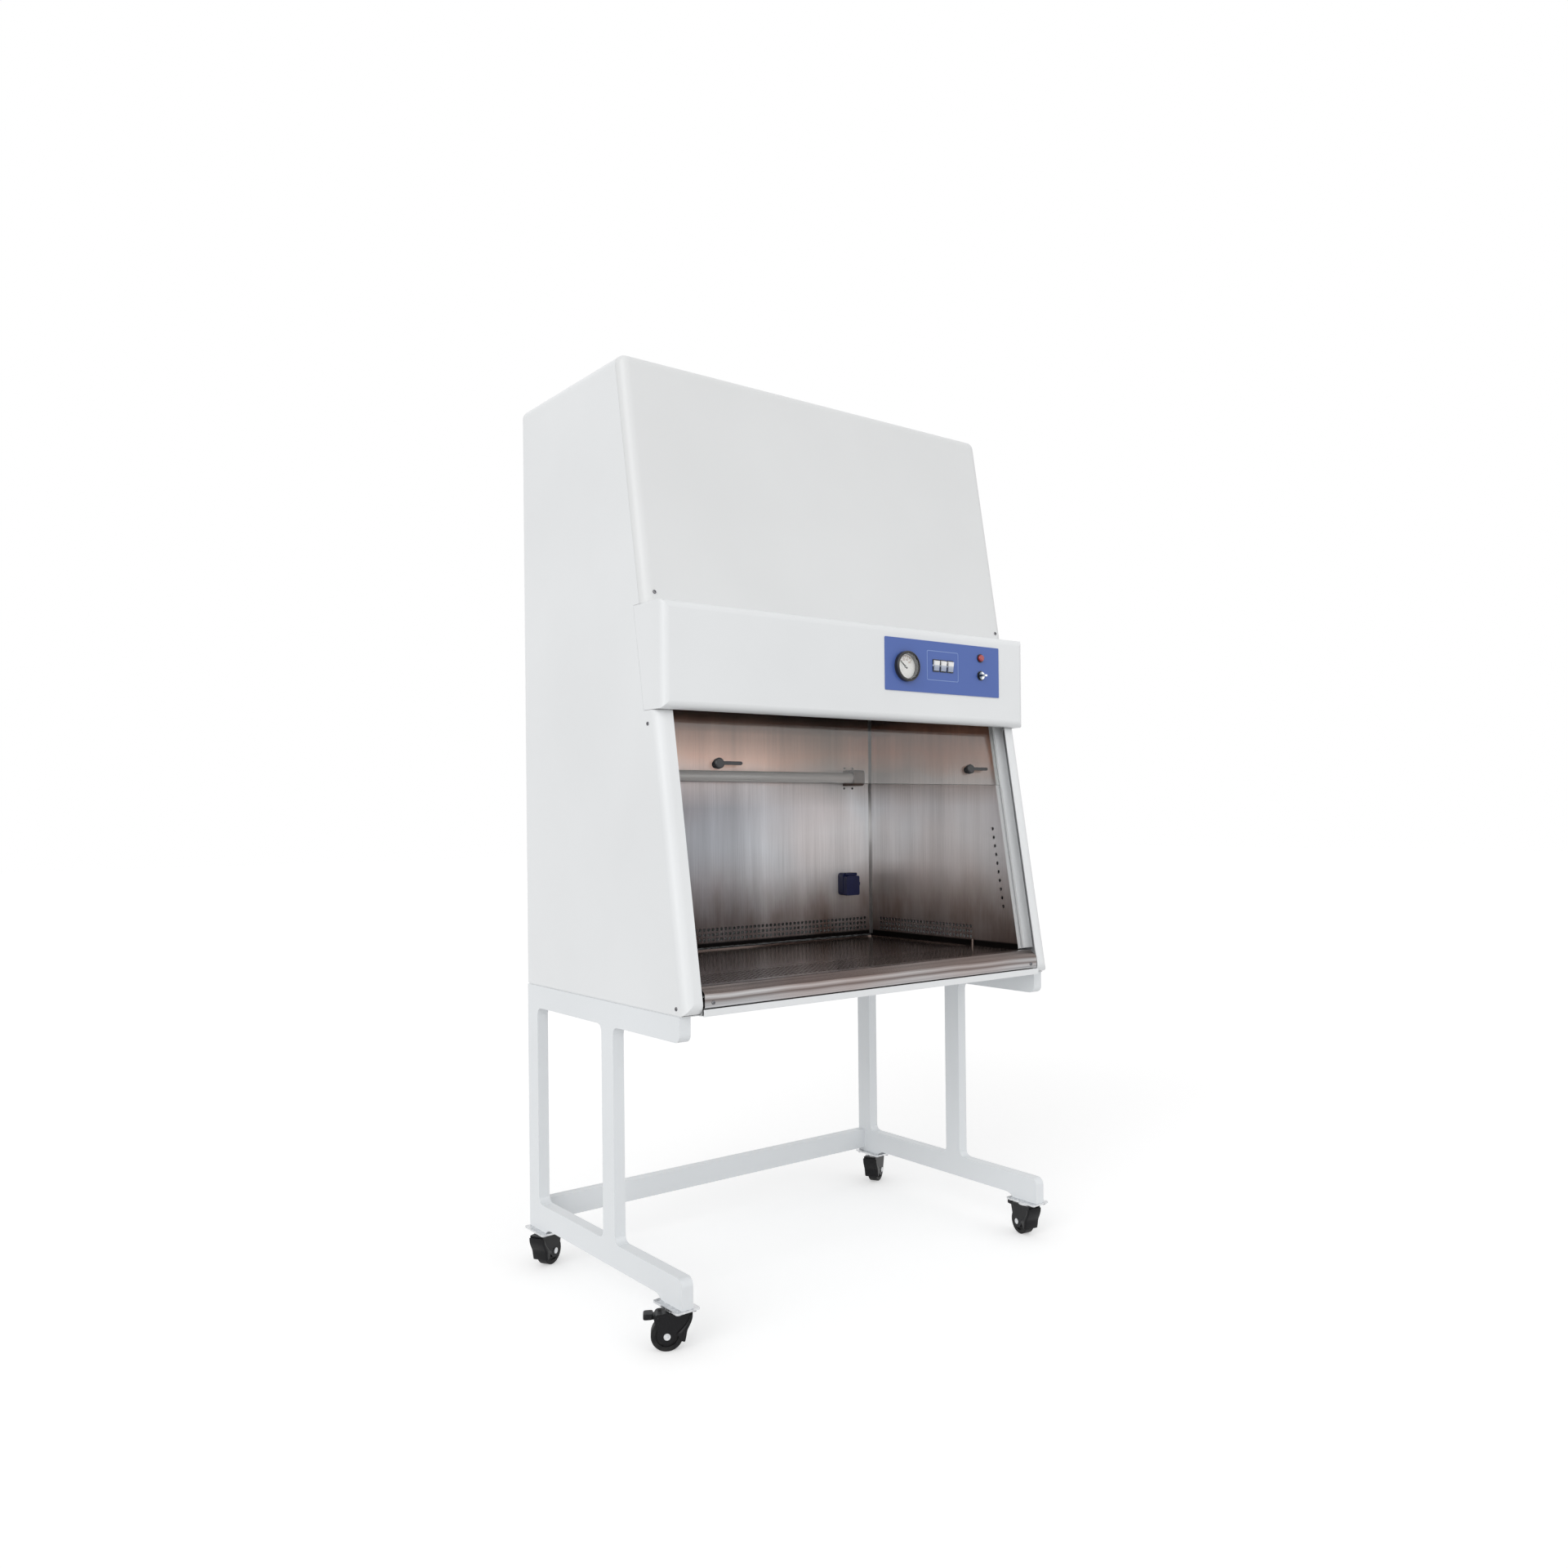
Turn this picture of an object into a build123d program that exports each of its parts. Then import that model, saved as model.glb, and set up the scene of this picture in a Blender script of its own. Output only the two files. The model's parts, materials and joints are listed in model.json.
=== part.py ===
from build123d import *
from math import atan2, cos, radians, sin
import os

os.makedirs("parts", exist_ok=True)

# Biosafety cabinet on a caster stand, in millimetres.
# X runs to the right, -Y is the user's side and Z is up. The origin is on the floor,
# under the middle of the footprint. "Height" below is measured from the cabinet's
# underside, and "inset" is measured square to the sloping front, into the cabinet.

# ---------------------------------------------------------------- driving dimensions
cabinet_width = 1000.0
base_depth = 700.0
top_depth = 465.0
cabinet_height = 1320.0
stand_height = 640.0

# Sheet metal
panel_sheet = 2.0
liner_sheet = 1.5
panel_bend = 20.0
seam = 0.6
base_seam = 2.5
flange_width = 38.0
cover_return = 22.0

# Stand
tube_width = 25.0
tube_depth = 50.0
tube_wall = 2.0
rail_setback = 28.0
rail_nose = 16.0
middle_leg_front = 292.0
foot_drop = 9.0
foot_length = 74.0
gusset_size = 14.0

# Casters
caster_height = 86.0
plate_length = 92.0
plate_width = 52.0
plate_thickness = 4.0
plate_overhang = 4.0
race_radius = 21.0
race_height = 6.0
kingpin_radius = 6.0
wheel_radius = 31.0
wheel_width = 24.0
wheel_trail = 18.0
wheel_gap = 3.0
wheel_side_gap = 1.3
axle_radius = 4.0
axle_head_radius = 6.5
axle_head_height = 2.5
hood_width = 34.0
hood_back = 28.0
hood_shoulder = 14.0
ear_radius = 15.0
pedal_pivot_out = 34.0
pedal_pivot_height = 65.0
pedal_hub_radius = 5.5
pedal_ear_radius = 8.5
pedal_pin_radius = 3.0
pedal_reach = 30.0
pedal_thickness = 5.0
pedal_roof_gap = 0.5
bolt_spacing_x = 34.0
bolt_spacing_y = 74.0
bolt_head_radius = 5.0
bolt_head_height = 3.5
running_gap = 0.05
face_gap = 0.3

# Work chamber
rear_duct_depth = 81.0
chamber_side_space = 40.0
chamber_ceiling_height = 655.0
work_height = 53.0
grille_setback = 45.0
grille_depth = 157.0
pan_height = 37.0
pan_lip = 14.0
pan_gap = 0.5
surface_side_gap = 1.5
tray_recess = 3.0
tray_rim = 14.0
tray_gap = 3.0
peg_radius = 4.0
peg_height = 16.0
lip_rise = 2.5
lip_bend = 3.0
lip_depth = 24.0
lip_slope_drop = 13.5
apron_foot = 14.0
apron_return = 9.0
hole_radius = 3.4
hole_pitch = 19.0
hole_rows = 2
grille_pitch = 24.0
grille_row_pitch = 26.0
hole_row_pitch = 11.0
hole_row_height = 68.0
side_strip_wall_gap = 37.0
side_column_count = 10
side_column_low = 154.0
side_column_high = 343.0
side_column_inset = 78.0

# Sash
sash_thickness = 5.0
sash_length = 600.0
sash_bottom_height = 450.0
sash_inset = 32.0
track_front_inset = 26.0
track_rear_inset = 46.0
track_sheet = 2.0
track_mouth_inset = 48.0
track_back_inset = 18.0
glass_side_gap = 4.0
slide_gap = 0.5
lever_inset = 148.0
lever_rise = 36.0
lever_knob_radius = 11.0
lever_knob_height = 12.0
lever_stem_radius = 4.0
lever_bar_length = 50.0
lever_bar_width = 7.0
lever_bar_thickness = 4.0

# Console
console_bottom = 589.0
console_top = 800.0
console_proud = 28.9
console_return = 45.0
console_bend = 15.0
console_flange = 25.0

# Control panel. What stands on it is placed from its lower right corner
panel_inset = 87.0
panel_rise = 67.0
panel_width = 355.0
panel_length = 118.0
panel_plate = 2.0
gauge_from_right = 294.0
gauge_from_bottom = 55.0
gauge_radius = 34.0
gauge_rim = 4.0
gauge_projection = 12.0
gauge_case_depth = 24.0
gauge_glass_thickness = 2.0
pointer_length = 19.0
pointer_width = 2.0
pointer_thickness = 0.8
pointer_rest = 50.0
pointer_hub_radius = 3.0
pointer_pin_radius = 1.2
dial_thickness = 1.0
rocker_from_right = 182.0
rocker_from_bottom = 63.0
rocker_pitch = 22.0
rocker_width = 15.0
rocker_length = 24.0
rocker_tilt = 9.0
rocker_projection = 5.0
rocker_pivot_radius = 2.0
rocker_gap = 0.4
frame_sheet = 1.6
frame_gap = 0.2
key_from_right = 61.0
key_from_bottom = 49.0
key_collar_radius = 11.0
lamp_from_right = 62.0
lamp_from_bottom = 90.0
lamp_radius = 8.0

# Lamps
tube_radius = 13.0
uv_tube_end_space = 60.0
uv_height = 480.0
uv_stand_off = 32.0
holder_width = 36.0
holder_height = 42.0
work_lamp_end_space = 30.0
work_lamp_height = 634.0

# Socket on the rear wall
socket_side_space = 91.0
socket_height = 196.0
socket_width = 46.0
socket_length = 60.0
socket_depth = 22.0
socket_lid_depth = 14.0
socket_corner = 9.0
socket_hinge_radius = 4.0

# Air system
filter_height = 88.0
exhaust_filter_width = 457.0
exhaust_filter_depth = 300.0
filter_frame = 18.0
filter_recess = 6.0
vent_pitch_x = 36.0
vent_pitch_y = 75.0
vent_columns = 12
vent_rows = 4
vent_length = 60.0
vent_width = 9.0
diffuser_pitch_x = 54.0
diffuser_pitch_y = 68.0
diffuser_slot_length = 52.0
diffuser_slot_width = 9.5
plenum_inset = 49.0
plenum_top = 1226.0
scroll_radius = 150.0
scroll_width = 260.0
scroll_growth = 34.0
scroll_y = 78.0
scroll_height = 960.0
blower_foot = 30.0
impeller_radius = 100.0
impeller_width = 200.0
impeller_ring = 10.0
blade_count = 24
blade_thickness = 2.0
blade_chord = 26.0
blade_angle = 35.0
inlet_radius = 88.0
motor_radius = 52.0
motor_length = 120.0
motor_bracket_width = 24.0
shaft_radius = 8.0
hub_radius = 22.0
hub_length = 30.0

# Mains inlet on the rear panel
inlet_side_space = 120.0
inlet_height = 1180.0
inlet_width = 50.0
inlet_length = 32.0
inlet_depth = 24.0
inlet_flange = 1.6

# Screws
screw_radius = 4.0
screw_height = 1.8
holder_screw_radius = 3.0
side_screw_top = 562.0
side_screw_bottom = 15.0
side_screw_inset = 35.0
apron_screw_inset = 19.0
apron_screw_height = 25.0

# ---------------------------------------------------------------- worked-out places
half_width = cabinet_width / 2
rear_y = base_depth / 2
front_y = -rear_y
slope = atan2(base_depth - top_depth, cabinet_height)
base_z = stand_height
top_z = stand_height + cabinet_height
body_rear_y = rear_y - panel_sheet
chamber_width = cabinet_width - 2 * chamber_side_space
chamber_half = chamber_width / 2
wall_y = rear_y - rear_duct_depth
rail_x = half_width - tube_width / 2
rail_top_z = caster_height + foot_drop + tube_depth
front_caster_y = front_y + rail_setback - plate_overhang + plate_length / 2
rear_caster_y = rear_y - plate_length / 2


def slope_y(height, inset=0.0):
    """Y of the sloping front at a height above the underside, moved inwards by inset."""
    return front_y + height * sin(slope) / cos(slope) + inset / cos(slope)


def slope_plane(height, inset=0.0):
    """Plane on the sloping front: local x to the right, local y up the slope, normal outwards."""
    return Plane(
        origin=(0, slope_y(height, inset), base_z + height),
        x_dir=(1, 0, 0),
        z_dir=(0, -cos(slope), sin(slope)),
    )


def slope_band(low, high, near, far):
    """Corners (y, z) of the strip between two heights and two insets."""
    return [
        (slope_y(low, near), base_z + low),
        (slope_y(low, far), base_z + low),
        (slope_y(high, far), base_z + high),
        (slope_y(high, near), base_z + high),
    ]


def face_plane(x, height, y):
    """Upright plane that faces the user, with its origin at x and a height."""
    return Plane(origin=(x, y, base_z + height), x_dir=(1, 0, 0), z_dir=(0, -1, 0))


def save(part, name):
    """Label a finished piece and write it as its own STEP file."""
    part.label = name
    export_step(part, f"parts/{name}.step")


console_y = slope_y(console_bottom, 0) - console_proud
panel_y = console_y - panel_plate
panel_right = half_width - panel_inset
panel_bottom = console_bottom + panel_rise
gauge_x = panel_right - gauge_from_right
gauge_height = panel_bottom + gauge_from_bottom
rocker_x = panel_right - rocker_from_right
rocker_height = panel_bottom + rocker_from_bottom
key_x = panel_right - key_from_right
key_height = panel_bottom + key_from_bottom
lamp_x = panel_right - lamp_from_right
lamp_height = panel_bottom + lamp_from_bottom

# ---------------------------------------------------------------- stand
with BuildPart() as stand_top_rails:
    with BuildSketch(Plane.YZ.offset(half_width - tube_width)):
        with Locations(((front_y + rail_setback + rear_y) / 2, base_z - tube_depth / 2)):
            Rectangle(base_depth - rail_setback, tube_depth)
        fillet(vertices().group_by(Axis.Y)[0].sort_by(Axis.X)[0], radius=rail_nose)
    extrude(amount=tube_width)
    with BuildSketch(Plane.YZ.offset(half_width - tube_width + tube_wall)):
        with Locations(((front_y + rail_setback + rear_y) / 2 + rail_nose, base_z - tube_depth / 2)):
            Rectangle(base_depth - rail_setback, tube_depth - 2 * tube_wall)
    extrude(amount=tube_width - 2 * tube_wall, mode=Mode.SUBTRACT)
    mirror(about=Plane.YZ)
save(stand_top_rails.part, "stand_top_rails")

rail_bottom_z = rail_top_z - tube_depth
with BuildPart() as stand_bottom_rails:
    with BuildSketch(Plane.YZ.offset(half_width - tube_width)):
        with Locations(((front_y + rail_setback + rear_y) / 2, rail_top_z - tube_depth / 2)):
            Rectangle(base_depth - rail_setback, tube_depth)
        fillet(vertices().group_by(Axis.Y)[-1].sort_by(Axis.X)[0], radius=rail_nose)
        for foot_y, outer_y, inward in (
            (front_caster_y, front_y + rail_setback, 1),
            (rear_caster_y, rear_y, -1),
        ):
            foot_end = foot_y + inward * foot_length / 2
            with BuildLine():
                Polyline(
                    (outer_y, rail_bottom_z),
                    (outer_y, caster_height),
                    (foot_end, caster_height),
                )
                RadiusArc(
                    (foot_end, caster_height),
                    (foot_end + inward * foot_drop * 2, rail_bottom_z),
                    inward * foot_length / 2,
                )
                Line((foot_end + inward * foot_drop * 2, rail_bottom_z), (outer_y, rail_bottom_z))
            make_face()
    extrude(amount=tube_width)
    with BuildSketch(Plane.YZ.offset(half_width - tube_width + tube_wall)):
        with Locations(((front_y + rail_setback + rear_y) / 2 + rail_nose, rail_top_z - tube_depth / 2)):
            Rectangle(base_depth - rail_setback, tube_depth - 2 * tube_wall)
    extrude(amount=tube_width - 2 * tube_wall, mode=Mode.SUBTRACT)
    mirror(about=Plane.YZ)
save(stand_bottom_rails.part, "stand_bottom_rails")

leg_length = base_z - tube_depth - rail_top_z
middle_leg_y = front_y + middle_leg_front + tube_depth / 2
rear_leg_y = rear_y - tube_depth / 2
# Weld fillets where each leg meets a rail: concave corners, (y, z, y direction, z direction)
gusset_corners = [
    (middle_leg_y - tube_depth / 2, rail_top_z, -1, 1),
    (middle_leg_y + tube_depth / 2, rail_top_z, 1, 1),
    (rear_leg_y - tube_depth / 2, rail_top_z, -1, 1),
    (middle_leg_y - tube_depth / 2, base_z - tube_depth, -1, -1),
    (middle_leg_y + tube_depth / 2, base_z - tube_depth, 1, -1),
    (rear_leg_y - tube_depth / 2, base_z - tube_depth, -1, -1),
]
with BuildPart() as stand_legs:
    with BuildSketch(Plane.XY.offset(rail_top_z)):
        with Locations((rail_x, middle_leg_y), (rail_x, rear_leg_y)):
            Rectangle(tube_width, tube_depth)
            Rectangle(tube_width - 2 * tube_wall, tube_depth - 2 * tube_wall, mode=Mode.SUBTRACT)
    extrude(amount=leg_length)
    with BuildSketch(Plane.YZ.offset(half_width - tube_width)):
        for corner_y, corner_z, along, up in gusset_corners:
            with Locations((corner_y + along * gusset_size / 2, corner_z + up * gusset_size / 2)):
                Rectangle(gusset_size, gusset_size)
            with Locations((corner_y + along * gusset_size, corner_z + up * gusset_size)):
                Circle(gusset_size - tube_wall / 2, mode=Mode.SUBTRACT)
    extrude(amount=tube_width)
    mirror(about=Plane.YZ)
save(stand_legs.part, "stand_legs")

cross_bar_y = rear_y - tube_width / 2
with BuildPart() as stand_cross_bars:
    with BuildSketch(Plane.YZ.offset(-(half_width - tube_width))):
        with Locations((cross_bar_y, rail_top_z - tube_depth / 2), (cross_bar_y, base_z - tube_depth / 2)):
            Rectangle(tube_width, tube_depth)
            Rectangle(tube_width - 2 * tube_wall, tube_depth - 2 * tube_wall, mode=Mode.SUBTRACT)
    extrude(amount=cabinet_width - 2 * tube_width)
save(stand_cross_bars.part, "stand_cross_bars")

# ---------------------------------------------------------------- casters
# Corner, side, place of the kingpin and which way the wheel trails, anticlockwise from +X
caster_corners = [
    ("fl", -1, front_caster_y, 150.0),
    ("fr", 1, front_caster_y, 80.0),
    ("rl", -1, rear_caster_y, 30.0),
    ("rr", 1, rear_caster_y, 30.0),
]
plate_z = caster_height - plate_thickness
race_z = plate_z - race_height
hood_top_z = race_z - face_gap
caster_centres = [(side * rail_x, centre_y) for _, side, centre_y, _ in caster_corners]

with BuildPart() as caster_plates:
    with BuildSketch(Plane.XY.offset(plate_z)):
        with Locations(*caster_centres):
            RectangleRounded(plate_width, plate_length, plate_thickness)
    extrude(amount=plate_thickness)
    with BuildSketch(Plane.XY.offset(race_z)):
        with Locations(*caster_centres):
            Circle(race_radius)
    extrude(amount=race_height)
    with BuildSketch(Plane.XY.offset(race_z)):
        with Locations(*caster_centres):
            Circle(kingpin_radius + running_gap)
    extrude(amount=race_height + plate_thickness, mode=Mode.SUBTRACT)
save(caster_plates.part, "caster_plates")

wheel_bore_radius = axle_radius + running_gap
slot_half = wheel_width / 2 + wheel_side_gap
for corner_name, side, centre_y, heading in caster_corners:
    # Local x points the way the wheel trails, local y is up
    trail_x = cos(radians(heading))
    trail_y = sin(radians(heading))
    caster_plane = Plane(
        origin=(side * rail_x, centre_y, 0), x_dir=(trail_x, trail_y, 0), z_dir=(trail_y, -trail_x, 0)
    )
    axle_place = (wheel_trail, wheel_radius)
    pivot_place = (pedal_pivot_out, pedal_pivot_height)

    with BuildPart() as caster_fork:
        with BuildSketch(caster_plane):
            with Locations(axle_place):
                Circle(ear_radius)
            with Locations(pivot_place):
                Circle(pedal_ear_radius)
            with Locations((-hood_back + hood_shoulder / 2, hood_top_z - hood_shoulder / 2)):
                Rectangle(hood_shoulder, hood_shoulder)
            make_hull()
        extrude(amount=hood_width / 2, both=True)
        with BuildSketch(caster_plane):
            with Locations(axle_place):
                Circle(wheel_radius + wheel_gap)
            with Locations((pedal_pivot_out, pedal_pivot_height - pedal_ear_radius + pedal_roof_gap)):
                Rectangle(4 * pedal_ear_radius, 2 * pedal_ear_radius + 2 * pedal_hub_radius)
        extrude(amount=slot_half, both=True, mode=Mode.SUBTRACT)
        with BuildSketch(caster_plane):
            with Locations(axle_place):
                Circle(wheel_bore_radius)
            with Locations(pivot_place):
                Circle(pedal_pin_radius + running_gap)
        extrude(amount=hood_width, both=True, mode=Mode.SUBTRACT)
        with BuildSketch(Plane.XY.offset(hood_top_z - tube_wall)):
            with Locations((side * rail_x, centre_y)):
                Circle(kingpin_radius)
        extrude(amount=caster_height - face_gap - hood_top_z + tube_wall)
    save(caster_fork.part, f"caster_{corner_name}_fork")

    with BuildPart() as caster_axle:
        with BuildSketch(caster_plane):
            with Locations(axle_place):
                Circle(axle_radius)
        extrude(amount=hood_width / 2, both=True)
        for end in (-1, 1):
            with BuildSketch(caster_plane.offset(end * hood_width / 2)):
                with Locations(axle_place):
                    Circle(axle_head_radius)
            extrude(amount=end * axle_head_height)
    save(caster_axle.part, f"caster_{corner_name}_axle")

    with BuildPart() as caster_wheel:
        with BuildSketch(caster_plane):
            with Locations(axle_place):
                Circle(wheel_radius)
        extrude(amount=wheel_width / 2, both=True)
        chamfer(edges().filter_by(GeomType.CIRCLE), length=wheel_gap / 2)
        for face in (-1, 1):
            with BuildSketch(caster_plane.offset(face * wheel_width / 2)):
                with Locations(axle_place):
                    Circle(wheel_radius - 3 * wheel_gap)
                    Circle(ear_radius - wheel_gap, mode=Mode.SUBTRACT)
            extrude(amount=-face * wheel_gap, mode=Mode.SUBTRACT)
        with BuildSketch(caster_plane):
            with Locations(axle_place):
                Circle(wheel_bore_radius)
        extrude(amount=wheel_width, both=True, mode=Mode.SUBTRACT)
    save(caster_wheel.part, f"caster_{corner_name}_wheel")

    with BuildPart() as caster_pedal:
        with BuildSketch(caster_plane):
            with Locations(pivot_place):
                Circle(pedal_hub_radius)
            with BuildLine():
                Polyline(
                    pivot_place,
                    (pedal_pivot_out + pedal_reach, pedal_pivot_height + pedal_thickness),
                    (pedal_pivot_out + pedal_reach, pedal_pivot_height),
                    (pedal_pivot_out + pedal_hub_radius, pedal_pivot_height - pedal_hub_radius / 2),
                    close=True,
                )
            make_face()
        extrude(amount=wheel_width / 2, both=True)
        with BuildSketch(caster_plane):
            with Locations(pivot_place):
                Circle(pedal_pin_radius)
        extrude(amount=hood_width / 2, both=True)
    save(caster_pedal.part, f"caster_{corner_name}_pedal")


# ---------------------------------------------------------------- outer skin
def cabinet_envelope(inset):
    """The cabinet's wedge with every face moved inwards by inset and soft edges."""
    with BuildPart() as wedge:
        with BuildSketch(Plane.YZ.offset(-(half_width - inset))):
            with BuildLine():
                Polyline(
                    (slope_y(base_seam, inset), base_z + base_seam),
                    (body_rear_y - inset, base_z + base_seam),
                    (body_rear_y - inset, top_z - inset),
                    (slope_y(cabinet_height - inset, inset), top_z - inset),
                    close=True,
                )
            make_face()
        extrude(amount=cabinet_width - 2 * inset)
        soft_edges = edges().group_by(Axis.Z)[-1] + edges().sort_by(Axis.Y)[0:3]
        fillet(soft_edges, radius=panel_bend - inset)
    return wedge.part


outer_body = cabinet_envelope(0)
inner_body = cabinet_envelope(panel_sheet)
inner_side = half_width - flange_width

# Strip of the front that the console housing covers
console_strip = slope_band(console_bottom - seam, console_top + seam, front_y - console_y, console_return + seam)
# Everything in front of the seam between the upper cover and the side panels
cover_strip = slope_band(console_top, cabinet_height + panel_bend, -panel_bend, cover_return)

with BuildPart() as side_panels:
    add(outer_body)
    add(inner_body, mode=Mode.SUBTRACT)
    Box(
        2 * inner_side,
        2 * base_depth,
        2 * top_z,
        mode=Mode.SUBTRACT,
    )
    for strip in (console_strip, cover_strip):
        with BuildSketch(Plane.YZ):
            with BuildLine():
                Polyline(*strip, close=True)
            make_face()
        extrude(amount=cabinet_width, both=True, mode=Mode.SUBTRACT)
save(side_panels.part, "side_panels")

with BuildPart() as upper_front_cover:
    add(outer_body)
    add(inner_body, mode=Mode.SUBTRACT)
    with BuildSketch(Plane.YZ):
        with BuildLine():
            Polyline(
                *slope_band(
                    console_top + seam, cabinet_height + panel_bend, -panel_bend, cover_return - seam
                ),
                close=True,
            )
        make_face()
    extrude(amount=cabinet_width, both=True, mode=Mode.INTERSECT)
save(upper_front_cover.part, "upper_front_cover")

rear_seam_y = body_rear_y - panel_bend - panel_sheet
middle_panel_width = 2 * (inner_side - seam)
exhaust_filter_y = wall_y - filter_frame - exhaust_filter_depth / 2
top_panel_front = slope_y(cabinet_height, cover_return + seam)
with BuildPart() as top_panel:
    with BuildSketch(Plane.XY.offset(top_z - panel_sheet)):
        with Locations((0, (top_panel_front + rear_seam_y) / 2)):
            Rectangle(middle_panel_width, rear_seam_y - top_panel_front)
        with Locations((0, exhaust_filter_y)):
            with GridLocations(vent_pitch_x, vent_pitch_y, vent_columns, vent_rows):
                SlotOverall(vent_length, vent_width, rotation=90, mode=Mode.SUBTRACT)
    extrude(amount=panel_sheet)
save(top_panel.part, "top_panel")

inlet_x = inlet_side_space - half_width
with BuildPart() as rear_panel:
    add(outer_body)
    add(inner_body, mode=Mode.SUBTRACT)
    with BuildSketch(Plane.XY):
        with Locations((0, (rear_seam_y + seam + rear_y) / 2)):
            Rectangle(middle_panel_width, rear_y - rear_seam_y - seam)
    extrude(amount=top_z + panel_bend, mode=Mode.INTERSECT)
    with BuildSketch(face_plane(inlet_x, inlet_height, rear_y)):
        Rectangle(inlet_width - 2 * panel_sheet, inlet_length - 2 * panel_sheet)
    extrude(amount=panel_bend, mode=Mode.SUBTRACT)
save(rear_panel.part, "rear_panel")

with BuildPart() as mains_inlet:
    with BuildSketch(face_plane(inlet_x, inlet_height, body_rear_y)):
        RectangleRounded(inlet_width, inlet_length, panel_sheet)
    extrude(amount=-inlet_flange)
    with BuildSketch(face_plane(inlet_x, inlet_height, body_rear_y)):
        Rectangle(inlet_width - 2 * panel_sheet - seam, inlet_length - 2 * panel_sheet - seam)
    extrude(amount=inlet_depth)
    with BuildSketch(face_plane(inlet_x, inlet_height, body_rear_y + inlet_flange)):
        Rectangle(inlet_length - 2 * panel_sheet, inlet_length / 2)
        chamfer(vertices().group_by(Axis.Z)[-1], length=panel_sheet)
    extrude(amount=inlet_depth - 2 * panel_sheet, mode=Mode.SUBTRACT)
    with BuildSketch(face_plane(inlet_x, inlet_height, body_rear_y + inlet_flange - inlet_depth + 2 * panel_sheet)):
        with GridLocations(inlet_length / 4, 1, 3, 1):
            Rectangle(panel_sheet, 2 * panel_sheet)
    extrude(amount=-(inlet_depth / 2))
save(mains_inlet.part, "mains_inlet")


# ---------------------------------------------------------------- console
def console_block(inset):
    """The console's outline with every face moved inwards by inset, open rearwards when hollow."""
    with BuildPart() as block:
        with BuildSketch(Plane.YZ.offset(-(half_width - inset))):
            with BuildLine():
                Polyline(
                    (console_y + inset, base_z + console_bottom + inset),
                    (slope_y(console_bottom, console_return + inset), base_z + console_bottom + inset),
                    (slope_y(console_top, console_return + inset), base_z + console_top - inset),
                    (console_y + inset, base_z + console_top - inset),
                    close=True,
                )
            make_face()
        extrude(amount=cabinet_width - 2 * inset)
        fillet(faces().sort_by(Axis.Y)[0].edges(), radius=console_bend - inset)
    return block.part


panel_middle_x = panel_right - panel_width / 2
panel_middle_height = panel_bottom + panel_length / 2
with BuildPart() as console_housing:
    add(console_block(0))
    add(console_block(panel_sheet), mode=Mode.SUBTRACT)
    # The sash runs up behind the console, so the top ledge stops at the slope
    with BuildSketch(Plane.YZ):
        with BuildLine():
            Polyline(
                *slope_band(console_bottom - panel_bend, console_top + panel_bend, 0, 2 * console_return),
                close=True,
            )
        make_face()
    extrude(amount=half_width - panel_sheet, both=True, mode=Mode.SUBTRACT)
    # The underside is open behind a folded flange, to let the light out
    with BuildSketch(Plane.XY.offset(base_z + console_bottom)):
        with Locations((0, console_y + console_flange + base_depth / 2)):
            Rectangle(2 * (half_width - panel_sheet), base_depth)
    extrude(amount=panel_sheet, mode=Mode.SUBTRACT)
    with BuildSketch(face_plane(panel_middle_x, panel_middle_height, console_y)):
        Rectangle(panel_width - 4 * panel_sheet, panel_length - 4 * panel_sheet)
    extrude(amount=-2 * panel_sheet, mode=Mode.SUBTRACT)
save(console_housing.part, "console_housing")

gauge_body_radius = gauge_radius - gauge_rim
rocker_places = [(rocker_x + step * rocker_pitch, rocker_height) for step in (-1, 0, 1)]
rocker_radius = rocker_length / 2
frame_width = rocker_width + 2 * rocker_gap + 2 * frame_sheet
frame_length = rocker_length + 2 * rocker_gap + 2 * frame_sheet
with BuildPart() as control_panel:
    with BuildSketch(face_plane(panel_middle_x, panel_middle_height, console_y)):
        RectangleRounded(panel_width, panel_length, panel_sheet)
    extrude(amount=panel_plate)
    for place_x, height, radius in (
        (gauge_x, gauge_height, gauge_body_radius),
        (key_x, key_height, key_collar_radius - panel_plate),
        (lamp_x, lamp_height, lamp_radius),
    ):
        with BuildSketch(face_plane(place_x, height, console_y)):
            Circle(radius + frame_gap)
        extrude(amount=panel_plate, mode=Mode.SUBTRACT)
    for place_x, height in rocker_places:
        with BuildSketch(face_plane(place_x, height, console_y)):
            Rectangle(frame_width + frame_gap, frame_length + frame_gap)
        extrude(amount=panel_plate, mode=Mode.SUBTRACT)
save(control_panel.part, "control_panel")

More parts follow.
